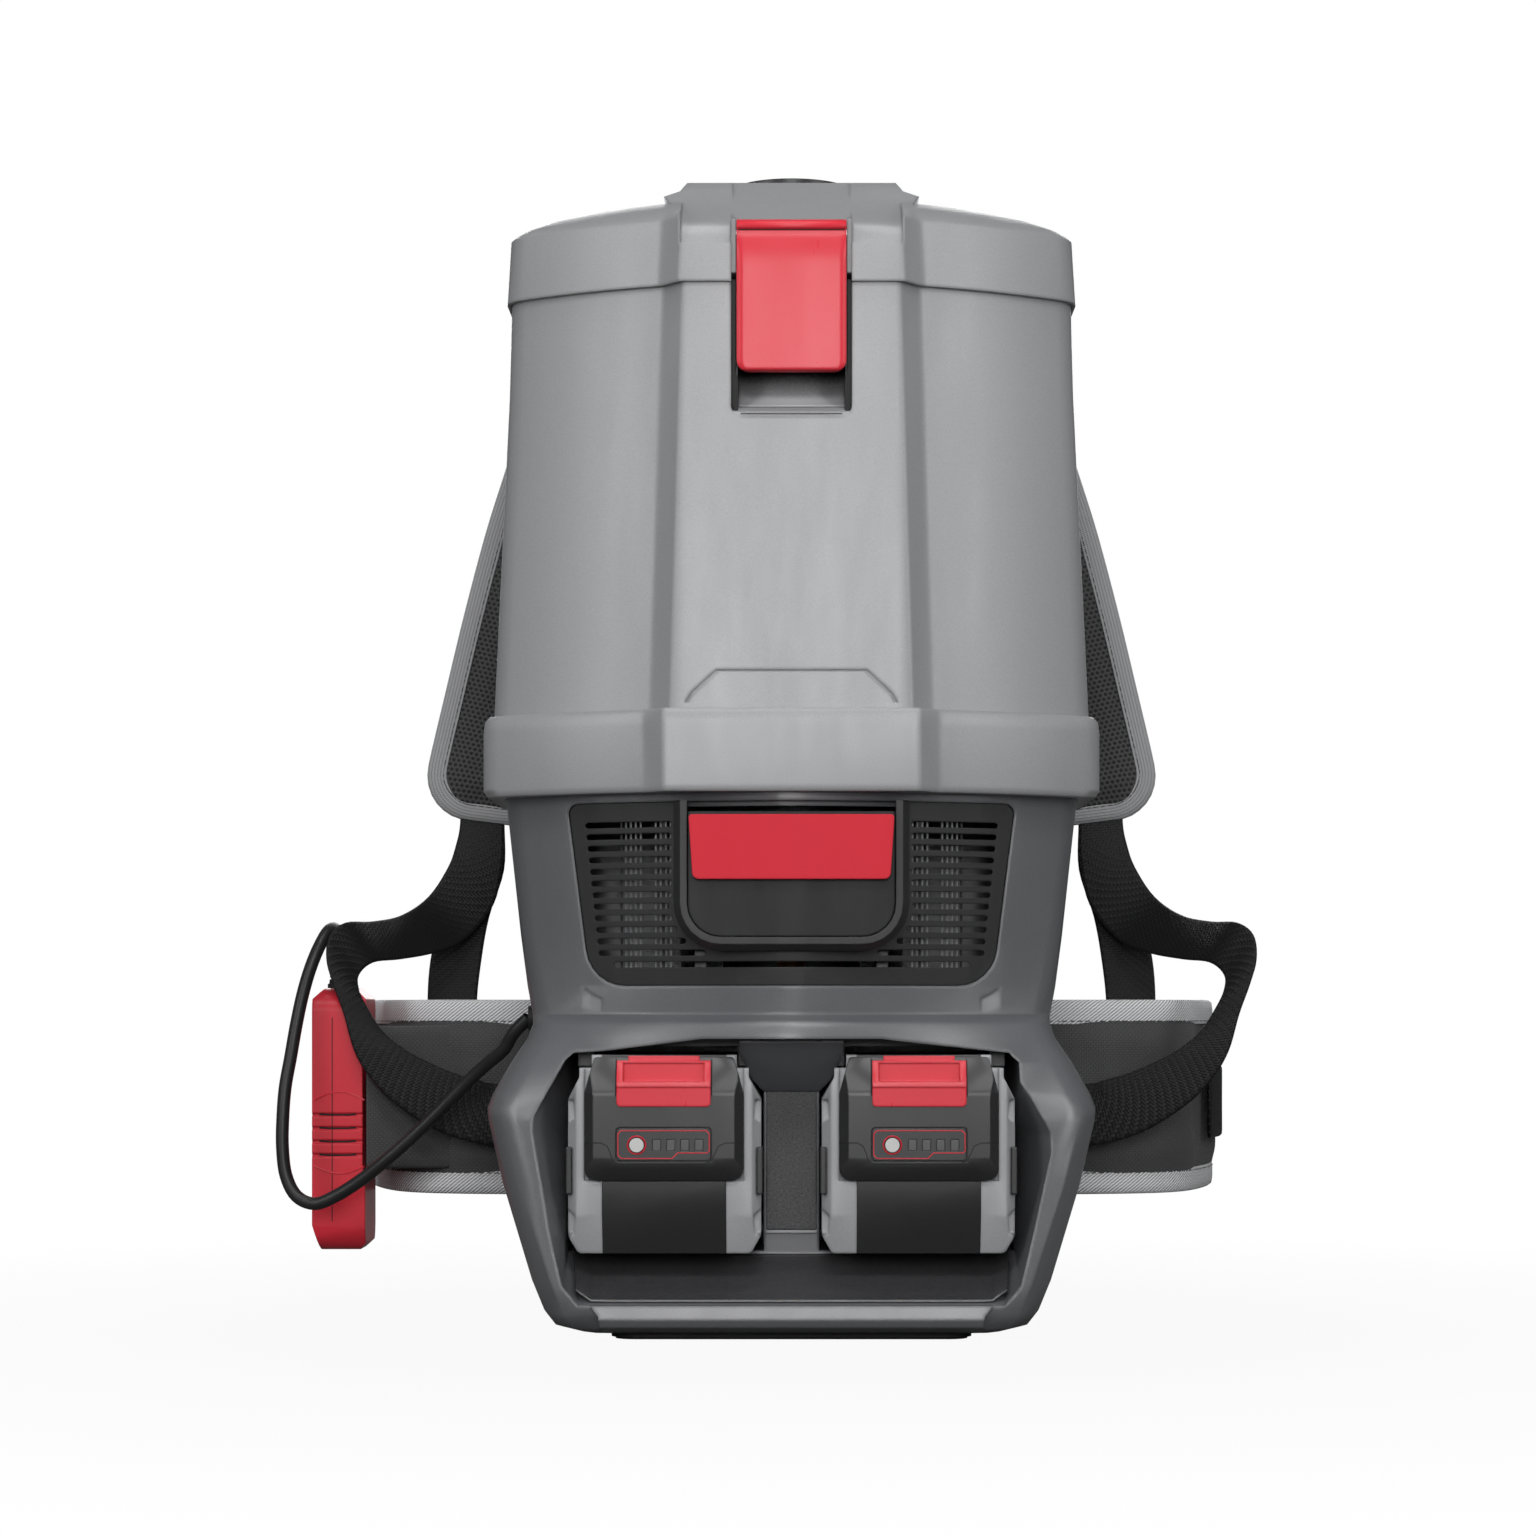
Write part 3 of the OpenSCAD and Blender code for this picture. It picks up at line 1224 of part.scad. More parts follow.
module strap_buckles() color("#161617") {
    both_sides() difference() {
        front_prism(rounded(box2(154, 190, 272, 294), 3), buckle_back, buckle_back + 3.5);
        for (z = [276, 285]) box(158, 186, buckle_back - 1, buckle_back + 5, z, z + 5);
    }
}

// Right half of the hip belt seen from above
belt_mid_z = 114.5;
belt_route = [[0.2, belt_y], [45, belt_y], [90, belt_y], [135, belt_y + 2], [172, 113], [200, 124], [216, 141], [225, 162], [232, 186],
    [238, 212], [241, 240], [239, 268], [232, 290]];

module belt_wing() {
    last = len(belt_route) - 1;
    path = [for (p = belt_route) [p[0], p[1], belt_mid_z]];
    loft([for (i = [0:last])
        let (t = tangent(path, i), n = cross(t, [0, 0, 1]))
        pad_ring(path[i], [0, 0, -1], n, belt_h / 2 * (i == last ? 0.62 : i == last - 1 ? 0.86 : 1),
            belt_t / 2 * (i == last ? 0.6 : 1))]);
}

webbing_z = 110;
webbing_route = [[234.6, 165.6], [240, 184], [246, 211], [249, 240], [248, 269], [241, 296], [226, 318], [196, 337],
    [150, 349], [90, 355], [32, 356]];

module belt_webbing() color("#1f1f20") {
    both_sides() {
        a = [for (p = webbing_route) [p[0], p[1], webbing_z + belt_webbing_w / 2]];
        b = [for (p = webbing_route) [p[0], p[1], webbing_z - belt_webbing_w / 2]];
        ribbon(a, b, webbing_t);
    }
}

buckle_y = 356;

module buckle_socket() color("#161617") {
    difference() {
        front_prism(rounded(box2(-8, 33, webbing_z - 25, webbing_z + 25), [8, 4, 4, 8]), buckle_y - 7, buckle_y + 7);
        box(-9, 20, buckle_y - 4, buckle_y + 4, webbing_z - 19, webbing_z + 19);
        box(21, 34, buckle_y - 1.4, buckle_y + 1.4, webbing_z - belt_webbing_w / 2 - 0.5, webbing_z + belt_webbing_w / 2 + 0.5);
        box(-2, 14, buckle_y - 8, buckle_y + 8, webbing_z + 14, webbing_z + 26);
        box(-2, 14, buckle_y - 8, buckle_y + 8, webbing_z - 26, webbing_z - 14);
    }
}

module buckle_plug() color("#161617") {
    difference() {
        union() {
            front_prism(rounded(box2(-33, -9, webbing_z - 25, webbing_z + 25), [4, 6, 6, 4]), buckle_y - 6, buckle_y + 6);
            front_prism([[-10, webbing_z - 4], [16, webbing_z - 4], [18, webbing_z], [16, webbing_z + 4], [-10, webbing_z + 4]],
                buckle_y - 3, buckle_y + 3);
            for (side = [-1, 1])
                front_prism([[-10, webbing_z + side * 10], [4, webbing_z + side * 13], [12, webbing_z + side * 12],
                    [12, webbing_z + side * 15], [2, webbing_z + side * 18], [-10, webbing_z + side * 15]],
                    buckle_y - 3, buckle_y + 3);
        }
        box(-34, -21, buckle_y - 1.4, buckle_y + 1.4, webbing_z - belt_webbing_w / 2 - 0.5, webbing_z + belt_webbing_w / 2 + 0.5);
    }
}

// ---------------------------------------------------------------- handset and cord

hand_x1 = -232;
hand_x0 = hand_x1 - handset_t;
hand_y0 = 101;
hand_z0 = 31;
hand_z1 = hand_z0 + handset_h;
hand_mid_y = hand_y0 + handset_w / 2;
button_zs = [hand_z1 - 32, hand_z1 - 54];

// Outline seen from the front: a slim body with stepped head and ribbed grip
hand_outline = [[hand_x1 - 4, hand_z0], [hand_x1, hand_z0 + 4], [hand_x1, hand_z0 + 40], [hand_x1 - 1.5, hand_z0 + 46],
    [hand_x1 - 1.5, hand_z1 - 34], [hand_x1, hand_z1 - 29], [hand_x1, hand_z1 - 6], [hand_x1 - 6, hand_z1],
    [hand_x0 + 6, hand_z1], [hand_x0, hand_z1 - 6], [hand_x0, hand_z0 + 14], [hand_x0 + 4, hand_z0]];

module handset_body() color(red) {
    difference() {
        intersection() {
            front_prism(hand_outline, hand_y0, hand_y0 + handset_w);
            side_prism(rounded(box2(hand_y0, hand_y0 + handset_w, hand_z0, hand_z1), 13), hand_x0 - 1, hand_x1 + 1);
        }
        for (z = button_zs)
            rod_x(handset_button_d + 2 * slide_gap, hand_x0 - 1, hand_x0 + 4, hand_mid_y, z);
        // Grip grooves on the rim
        for (i = [0:3], y = [hand_y0, hand_y0 + handset_w])
            translate([hand_x0 - 1, y, hand_z0 + 52 + i * 7.3]) rotate([0, 90, 0]) cylinder(r = 1.1, h = handset_t + 2, $fn = 16);
    }
    // Clip behind the handset that holds it on the belt
    box(hand_x1 - 1.6, hand_x1 + 5, hand_y0 + handset_w - 12, hand_y0 + handset_w - 2, 84, 136);
}

module handset_button(z) color("#e7e7e5") {
    rod_x(handset_button_d, hand_x0 - 1.6, hand_x0 + 2.6, hand_mid_y, z);
}

relief_x = -250;
relief_y = 134;

module strain_relief() color("#19191a") {
    difference() {
        union() {
            translate([relief_x, relief_y, hand_z1]) cylinder(d1 = cord_d + 5, d2 = cord_d + 2, h = 14);
            translate([relief_x, relief_y, hand_z1]) cylinder(d = cord_d + 6, h = 2.5);
        }
        for (i = [0:2]) translate([relief_x, relief_y, hand_z1 + 5 + i * 3]) difference() {
            cylinder(d = cord_d + 8, h = 1);
            cylinder(d = cord_d + 1, h = 1);
        }
    }
    rod_x(gland_d, gland_x, gland_seat - 0.3, gland_y, gland_z);
}

cord_route = [[-138, 30, 158], [-146, 33, 150], [-152, 38, 141], [-162, 46, 133], [-172, 52, 124], [-182, 56, 114],
    [-193, 59, 103], [-206, 62, 91], [-219, 65, 80], [-232, 69, 70], [-245, 72, 62], [-256, 74, 58], [-266, 76, 62],
    [-272, 78, 73], [-274, 79, 88], [-274, 80, 103], [-273, 82, 120], [-270.5, 86, 137], [-268, 89.5, 154],
    [-265, 92.5, 170], [-261.5, 96.5, 184], [-257.5, 102.5, 196], [-253.8, 111, 204.5], [-251.2, 121, 207],
    [-250, 129.5, 203], [-250, 133.6, 196], [-250, 134, 188]];

cord_sides = 10;

module control_cord() color("#141415") {
    loft([for (i = [0:len(cord_route) - 1])
        let (t = i == 0 ? [-1, 0, 0] : i == len(cord_route) - 1 ? [0, 0, -1] : tangent(cord_route, i),
             u = unit(cross(t, [0.12, 1, 0.1])), n = cross(t, u))
        [for (k = [0:cord_sides - 1]) cord_route[i]
            + (u * cos(k * 360 / cord_sides) + n * sin(k * 360 / cord_sides)) * cord_d / 2]]);
}

// ---------------------------------------------------------------- nodes

module left() mirror([1, 0, 0]) children();

canister_shell();
collar_ring();
base_housing();
exhaust_grille();
foot_pad();
back_plate();
hinge_bracket();
hinge_leaf();
hinge_pin();
lid_shell();
lid_gasket();
hose_port();
latch_bracket();
latch_lever();
latch_pin();
bag_dock();
dust_bag();
inlet_cage();
motor_can();
motor_core();
impeller();
filter_duct();
filter_frame();
filter_media();
filter_door();
pull_tab();
pull_pin();
battery_dock();
dock_contacts();
control_board();
at_pack(-1) pack_shell();  // pack_shell_left
at_pack(-1) pack_core();  // pack_core_left
at_pack(-1) pack_cap();  // pack_cap_left
at_pack(-1) pack_release();  // pack_release_left
at_pack(-1) gauge_panel();  // gauge_panel_left
at_pack(-1) gauge_button();  // gauge_button_left
at_pack(-1) pack_cells();  // pack_cells_left
at_pack(1) pack_shell();  // pack_shell_right
at_pack(1) pack_core();  // pack_core_right
at_pack(1) pack_cap();  // pack_cap_right
at_pack(1) pack_release();  // pack_release_right
at_pack(1) gauge_panel();  // gauge_panel_right
at_pack(1) gauge_button();  // gauge_button_right
at_pack(1) pack_cells();  // pack_cells_right
back_pad();
color("#39393b") left() shoulder_pad();  // shoulder_pad_left
color("#39393b") shoulder_pad();  // shoulder_pad_right
color("#202021") strap();  // strap_left
color("#202021") left() strap();  // strap_right
strap_buckles();
color("#343436") left() belt_wing();  // belt_left
color("#343436") belt_wing();  // belt_right
belt_webbing();
buckle_socket();
buckle_plug();
handset_body();
handset_button(button_zs[0]);  // power_button
handset_button(button_zs[1]);  // speed_button
strain_relief();
control_cord();
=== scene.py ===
import bpy
import json
import math
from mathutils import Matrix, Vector, noise


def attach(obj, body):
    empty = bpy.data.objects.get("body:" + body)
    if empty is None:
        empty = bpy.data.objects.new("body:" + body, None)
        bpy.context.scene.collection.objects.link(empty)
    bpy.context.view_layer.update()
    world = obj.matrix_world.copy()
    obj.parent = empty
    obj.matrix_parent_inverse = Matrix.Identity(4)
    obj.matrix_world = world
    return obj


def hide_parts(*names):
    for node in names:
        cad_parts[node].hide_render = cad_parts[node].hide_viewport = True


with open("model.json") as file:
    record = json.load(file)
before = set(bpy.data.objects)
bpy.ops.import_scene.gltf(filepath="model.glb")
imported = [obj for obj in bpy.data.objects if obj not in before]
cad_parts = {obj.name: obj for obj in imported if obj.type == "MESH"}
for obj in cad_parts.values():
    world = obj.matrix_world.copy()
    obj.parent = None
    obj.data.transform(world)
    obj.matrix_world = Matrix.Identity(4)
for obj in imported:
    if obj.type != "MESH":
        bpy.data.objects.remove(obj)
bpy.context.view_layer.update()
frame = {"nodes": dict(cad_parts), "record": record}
NODES = frame["nodes"]
scene = bpy.context.scene

# Z up, front to -Y. Routes and outlines are written in mm and scaled to metres by MM
MM = 0.001
SIDES = (("left", -1), ("right", 1))
WELD_DISTANCE = 2e-6
SPLIT_ANGLE = math.radians(38)
# Edges are brightened in colour both as handling wear and as a painted highlight; EDGE_GAIN sets how fast
# either comes in.
EDGE_GAIN = 2.5         # how fast an edge's wear comes in as its normal turns
MIN_HALF_WIDTH = 0.0004
ROUND_STEPS = 8         # rows over a rounded end
WEBBING_THICK = 0.0019

# ---------------------------------------------------------------- camera

camera_data = bpy.data.cameras.new("camera")
camera = bpy.data.objects.new("camera", camera_data)
scene.collection.objects.link(camera)
camera.location = (0.0, -1.910, 0.162)
camera.rotation_euler = (math.radians(90), 0, 0)
camera_data.lens = 86.6
camera_data.sensor_width = 36
camera_data.shift_x = -0.0153
camera_data.shift_y = 0.1576
scene.camera = camera

# ---------------------------------------------------------------- shader helpers


class Shader:
    """A Principled material with short calls for its nodes."""

    def __init__(self, name, rough=0.5, metal=0.0, spec=0.5, sheen=0.0):
        self.mat = bpy.data.materials.new(name)
        self.mat.use_nodes = True
        self.tree = self.mat.node_tree
        self.bsdf = self.tree.nodes["Principled BSDF"]
        self.bsdf.inputs["Roughness"].default_value = rough
        self.bsdf.inputs["Metallic"].default_value = metal
        self.bsdf.inputs["Specular IOR Level"].default_value = spec
        self.bsdf.inputs["Sheen Weight"].default_value = sheen
        self.coords = self.node("ShaderNodeTexCoord")

    def node(self, kind, **settings):
        n = self.tree.nodes.new(kind)
        for key, value in settings.items():
            setattr(n, key, value)
        return n

    def feed(self, socket, value):
        if isinstance(value, bpy.types.NodeSocket):
            self.tree.links.new(value, socket)
        else:
            socket.default_value = value

    def math(self, op, a, b=0.0, c=0.0):
        n = self.node("ShaderNodeMath", operation=op)
        for socket, value in zip(n.inputs, (a, b, c)):
            self.feed(socket, value)
        return n.outputs[0]

    def noise(self, scale, detail=2.0, rough=0.5, stretch=None):
        n = self.node("ShaderNodeTexNoise")
        vector = self.coords.outputs["Object"]
        if stretch:
            m = self.node("ShaderNodeMapping")
            m.inputs["Scale"].default_value = stretch
            self.feed(m.inputs["Vector"], vector)
            vector = m.outputs[0]
        self.feed(n.inputs["Vector"], vector)
        n.inputs["Scale"].default_value = scale
        n.inputs["Detail"].default_value = detail
        n.inputs["Roughness"].default_value = rough
        return n.outputs["Fac"]

    def ramp(self, value, *stops):
        n = self.node("ShaderNodeValToRGB")
        self.feed(n.inputs[0], value)
        while len(n.color_ramp.elements) < len(stops):
            n.color_ramp.elements.new(0.5)
        for e, (at, rgb) in zip(n.color_ramp.elements, stops):
            e.position = at
            e.color = (*rgb, 1.0)
        return n.outputs[0]

    def mix(self, factor, a, b):
        n = self.node("ShaderNodeMix", data_type="RGBA")
        self.feed(n.inputs[0], factor)
        for socket, value in ((n.inputs[6], a), (n.inputs[7], b)):
            self.feed(socket, (*value, 1.0) if isinstance(value, tuple) and len(value) == 3 else value)
        return n.outputs[2]

    def uv(self):
        n = self.node("ShaderNodeSeparateXYZ")
        self.feed(n.inputs[0], self.coords.outputs["UV"])
        return n.outputs[0], n.outputs[1]

    def colour(self, value):
        self.feed(self.bsdf.inputs["Base Color"], (*value, 1.0) if isinstance(value, tuple) else value)

    def roughness(self, value):
        self.feed(self.bsdf.inputs["Roughness"], value)

    def bump(self, height, distance, strength=1.0, normal=None):
        n = self.node("ShaderNodeBump")
        n.inputs["Strength"].default_value = strength
        n.inputs["Distance"].default_value = distance
        self.feed(n.inputs["Height"], height)
        if normal is not None:
            self.feed(n.inputs["Normal"], normal)
        self.feed(self.bsdf.inputs["Normal"], n.outputs[0])
        return n.outputs[0]

    def soft_edges(self, radius):
        """The rounded edge of a moulding, and how much a point lies on such an edge."""
        b = self.node("ShaderNodeBevel", samples=4)
        b.inputs["Radius"].default_value = radius
        g = self.node("ShaderNodeNewGeometry")
        d = self.node("ShaderNodeVectorMath", operation="DOT_PRODUCT")
        self.feed(d.inputs[0], b.outputs[0])
        self.feed(d.inputs[1], g.outputs["True Normal"])
        edge = self.math("SUBTRACT", 1.0, d.outputs["Value"])
        return b.outputs[0], self.math("MINIMUM", self.math("MULTIPLY", edge, EDGE_GAIN), 1.0)


def scaled(rgb, k):
    return tuple(min(1.0, max(0.0, c * k)) for c in rgb)


def moulded(name, rgb, rough=0.42, grain=1500.0, depth=0.00005, contrast=0.07, bevel=0.0009, wear_and_highlight=0.12,
            spec=0.5):
    """Moulded plastic: spark-eroded grain, faint flow in the colour, edges brighter by wear_and_highlight: a
    little as handling wear, strongly as a painted highlight.
    """
    s = Shader(name, rough=rough, spec=spec)
    fine = s.noise(grain, 3.0, 0.6)
    flow = s.noise(9.0, 2.0)
    scuff = s.noise(60.0, 4.0, 0.65, (1.0, 1.0, 0.25))
    base = s.ramp(fine, (0.3, scaled(rgb, 1.0 - contrast)), (0.7, scaled(rgb, 1.0 + contrast)))
    base = s.mix(s.math("MULTIPLY", flow, 0.16), base, scaled(rgb, 0.86))
    normal, edge = s.soft_edges(bevel)
    # Edges lighter in colour: handling wear where the share is small, a painted highlight where it is large,
    # as on the housing.
    base = s.mix(s.math("MULTIPLY", edge, wear_and_highlight), base, scaled(rgb, 1.7))
    s.colour(base)
    s.roughness(s.math("MULTIPLY_ADD", scuff, 0.16, rough - 0.08))
    s.bump(fine, depth, 0.55, normal)
    return s.mat


def metal(name, rgb, rough=0.3, direction=(1.0, 60.0, 60.0)):
    s = Shader(name, rough=rough, metal=1.0)
    lines = s.noise(220.0, 3.0, 0.6, direction)
    s.colour(s.ramp(lines, (0.25, scaled(rgb, 0.82)), (0.75, scaled(rgb, 1.08))))
    s.roughness(s.math("MULTIPLY_ADD", lines, 0.25, rough - 0.1))
    normal, _ = s.soft_edges(0.0003)
    s.bump(lines, 0.00003, 0.5, normal)
    return s.mat


def threads(s, pitch, over=2.0):
    """Height of a plain or twill weave of the given pitch, from the piece's own metre-true UV map."""
    u, v = s.uv()
    cu, cv = s.math("DIVIDE", u, pitch), s.math("DIVIDE", v, pitch)
    cell = s.math("ADD", s.math("FLOOR", cu), s.math("FLOOR", cv))
    up = s.math("LESS_THAN", s.math("FRACT", s.math("DIVIDE", cell, over)), 1.0 / over - 0.01)
    hu = s.math("ABSOLUTE", s.math("SINE", s.math("MULTIPLY", cu, math.pi)))
    hv = s.math("ABSOLUTE", s.math("SINE", s.math("MULTIPLY", cv, math.pi)))
    a = s.math("MULTIPLY", up, s.math("MULTIPLY_ADD", hu, 0.75, 0.25))
    b = s.math("MULTIPLY", s.math("SUBTRACT", 1.0, up), s.math("MULTIPLY", hv, 0.7))
    return s.math("ADD", a, b)


def woven(name, dark, light, pitch, over=2.0, rough=0.75, sheen=0.25, depth=0.00025, blotch=0.25,
          spec=0.5):
    s = Shader(name, rough=rough, sheen=sheen, spec=spec)
    height = threads(s, pitch, over)
    fibre = s.noise(2600.0, 2.0, 0.6)
    base = s.ramp(height, (0.15, dark), (0.85, light))
    base = s.mix(s.math("MULTIPLY", fibre, 0.5), base, scaled(light, 0.7))
    base = s.mix(s.math("MULTIPLY", s.noise(14.0, 3.0), blotch), base, scaled(dark, 0.9))
    s.colour(base)
    s.bump(s.math("MULTIPLY_ADD", fibre, 0.2, height), depth, 0.8)
    return s.mat


def ribbed_tape(name, dark, light, rib=0.0017, tick=0.0012, slope=0.7, along=0.6):
    """Binding tape: ribs along the tape, crossed by slanting ticks; along is the share of the ribs."""
    s = Shader(name, rough=0.8, sheen=0.2)
    u, v = s.uv()
    ribs = s.math("ABSOLUTE", s.math("SINE", s.math("MULTIPLY", s.math("DIVIDE", u, rib), math.pi)))
    slant = s.math("MULTIPLY_ADD", u, slope, v)
    ticks = s.math("SINE", s.math("MULTIPLY", s.math("DIVIDE", slant, tick), 2 * math.pi))
    ticks = s.math("MULTIPLY_ADD", ticks, 0.5, 0.5)
    height = s.math("MULTIPLY_ADD", s.math("POWER", ribs, 0.6), along,
                    s.math("MULTIPLY", ticks, 1.0 - along))
    fibre = s.noise(2400.0, 2.0, 0.6)
    base = s.ramp(height, (0.12, dark), (0.8, light))
    base = s.mix(s.math("MULTIPLY", fibre, 0.35), base, scaled(light, 0.7))
    s.colour(base)
    s.bump(height, 0.0004, 0.9)
    return s.mat


def air_mesh(name, dark, light, pitch=0.0030):
    """Spacer mesh: a knitted net of small holes over a dark ground."""
    s = Shader(name, rough=0.75, sheen=0.1)
    u, v = s.uv()
    row = s.math("FLOOR", s.math("DIVIDE", v, pitch * 0.866))
    odd = s.math("MULTIPLY", s.math("FRACT", s.math("MULTIPLY", row, 0.5)), pitch)
    fu = s.math("SUBTRACT", s.math("FRACT", s.math("DIVIDE", s.math("ADD", u, odd), pitch)), 0.5)
    fv = s.math("SUBTRACT", s.math("FRACT", s.math("DIVIDE", v, pitch * 0.866)), 0.5)
    radius = s.math("SQRT", s.math("ADD", s.math("MULTIPLY", fu, fu),
                                   s.math("MULTIPLY", s.math("MULTIPLY", fv, fv), 0.8)))
    fibre = s.noise(2200.0, 2.0, 0.6)
    base = s.ramp(radius, (0.26, dark), (0.40, light), (0.7, scaled(light, 1.3)))
    s.colour(s.mix(s.math("MULTIPLY", fibre, 0.3), base, scaled(light, 0.5)))
    s.bump(s.math("MINIMUM", radius, 0.42), 0.0016, 1.0)
    return s.mat


def rubber(name, rgb, rough=0.6, grain=700.0):
    s = Shader(name, rough=rough, spec=0.4)
    fine = s.noise(grain, 3.0, 0.6)
    dust = s.noise(26.0, 4.0, 0.6)
    base = s.ramp(dust, (0.35, rgb), (0.8, scaled(rgb, 1.5)))
    s.colour(base)
    s.roughness(s.math("MULTIPLY_ADD", dust, 0.2, rough - 0.1))
    normal, _ = s.soft_edges(0.0005)
    s.bump(fine, 0.00006, 0.5, normal)
    return s.mat


def paper(name, rgb):
    s = Shader(name, rough=0.9)
    fibre = s.noise(420.0, 5.0, 0.7, (1.0, 1.0, 0.35))
    s.colour(s.ramp(fibre, (0.3, scaled(rgb, 0.82)), (0.7, rgb)))
    s.bump(fibre, 0.0004, 0.6)
    return s.mat


BODY = (0.252, 0.254, 0.261)
HOUSING = (0.098, 0.100, 0.107)
BLACK = (0.017, 0.017, 0.018)
RED = (0.620, 0.026, 0.043)

MATS = {
    "body_grey": moulded("body_grey", BODY, 0.40, contrast=0.10, bevel=0.0024, spec=0.85),
    # The housing's edges are brightened strongly in colour: a painted highlight along them.
    "housing_grey": moulded("housing_grey", HOUSING, 0.33, contrast=0.12, bevel=0.0024, wear_and_highlight=0.5,
                            spec=0.9),
    "black_plastic": moulded("black_plastic", BLACK, 0.36, depth=0.00003, contrast=0.15, bevel=0.0009,
                             wear_and_highlight=0.05),
    "clear_grey": moulded("clear_grey", (0.16, 0.16, 0.165), 0.35, bevel=0.0006),
    "red_plastic": moulded("red_plastic", RED, 0.30, contrast=0.03, depth=0.00002, bevel=0.0014,
                           wear_and_highlight=0.04, spec=0.3),
    "white_plastic": moulded("white_plastic", (0.50, 0.50, 0.49), 0.35, contrast=0.02, depth=0.00001,
                             bevel=0.0004, wear_and_highlight=0.0),
    "steel": metal("steel", (0.62, 0.63, 0.65)),
    "contact_metal": metal("contact_metal", (0.80, 0.56, 0.26), 0.25),
    "board": moulded("board", (0.03, 0.16, 0.09), 0.30, grain=400.0, bevel=0.0002),
    "bag_paper": paper("bag_paper", (0.66, 0.58, 0.43)),
    "filter_paper": paper("filter_paper", (0.80, 0.78, 0.72)),
    "rubber": rubber("rubber", (0.013, 0.013, 0.014)),
    "cord_rubber": rubber("cord_rubber", (0.012, 0.012, 0.013), 0.42, 300.0),
    "motor_metal": metal("motor_metal", (0.30, 0.31, 0.33), 0.4),
    "copper": metal("copper", (0.60, 0.28, 0.12), 0.35, (60.0, 60.0, 1.0)),
    "cell_wrap": moulded("cell_wrap", (0.04, 0.12, 0.30), 0.3, grain=500.0, bevel=0.0004),
    "webbing": woven("webbing", (0.001, 0.001, 0.001), (0.015, 0.015, 0.016), 0.0015, 3.0, rough=0.5,
                     sheen=0.0, spec=0.2),
    "pad_fabric": air_mesh("pad_fabric", (0.003, 0.003, 0.003), (0.040, 0.040, 0.041)),
    "belt_fabric": woven("belt_fabric", (0.027, 0.027, 0.028), (0.068, 0.068, 0.070), 0.0013, 2.0,
                         sheen=0.08, blotch=0.12),
}
PAD_TAPE = ribbed_tape("pad_tape", (0.12, 0.121, 0.124), (0.36, 0.364, 0.372))
BELT_TAPE = ribbed_tape("belt_tape", (0.20, 0.202, 0.207), (0.84, 0.846, 0.86), tick=0.0024, slope=1.3,
                        along=0.15)
THREAD = woven("thread", (0.03, 0.03, 0.03), (0.10, 0.10, 0.10), 0.0004, 2.0)
GRAIN = moulded("grained_panel", (0.062, 0.062, 0.064), 0.55, grain=900.0, depth=0.0002, contrast=0.55,
                bevel=0.0005, wear_and_highlight=0.0)
SEAM_SHADOW = moulded("seam_shadow", (0.004, 0.004, 0.004), 0.7, bevel=0.0002, wear_and_highlight=0.0)
# A darker copy of the black plastic: painted shade on the grille under the collar's overhang.
VENT_SHADED = moulded("vent_black_shaded", (0.011, 0.011, 0.0115), 0.5, depth=0.00003, contrast=0.2, bevel=0.0009,
               wear_and_highlight=0.03)
TRIM = moulded("trim_grey", (0.34, 0.344, 0.355), 0.30, contrast=0.08, bevel=0.0024)
DOOR = moulded("door_black", (0.007, 0.007, 0.0075), 0.45, depth=0.00003, contrast=0.12, bevel=0.0012,
               wear_and_highlight=0.04, spec=0.25)
# The red a little darker than the latch's: painted shade on the tab under the overhang.
TAB_RED_SHADED = moulded("tab_red_shaded", scaled(RED, 0.95), 0.5, contrast=0.03, depth=0.00002, bevel=0.0012,
                  wear_and_highlight=0.04, spec=0.12)
WINDOW = moulded("gauge_window", (0.055, 0.055, 0.057), 0.3, contrast=0.02, bevel=0.0002, wear_and_highlight=0.0)
# Nodes whose material departs from their slot's: real finishes, and darker copies painting shade on the
# grille and the pull tab
FINISH_AND_SHADE = {"pack_shell_left": TRIM, "pack_shell_right": TRIM, "exhaust_grille": VENT_SHADED, "filter_door": DOOR,
          "pull_tab": TAB_RED_SHADED}
slots = {s["node"]: s["material_slot"] for s in frame["record"]["subparts"]}
for name, node in NODES.items():
    mesh = node.data
    mesh.materials.clear()
    mesh.materials.append(FINISH_AND_SHADE.get(name, MATS[slots[name]]))
    if "custom_normal" in mesh.attributes:
        mesh.attributes.remove(mesh.attributes["custom_normal"])
    mesh.shade_smooth()
    weld = node.modifiers.new("weld", "WELD")
    weld.merge_threshold = WELD_DISTANCE
    split = node.modifiers.new("split", "EDGE_SPLIT")
    split.split_angle = SPLIT_ANGLE
    even = node.modifiers.new("even", "WEIGHTED_NORMAL")
    even.keep_sharp = True

# ---------------------------------------------------------------- mesh helpers


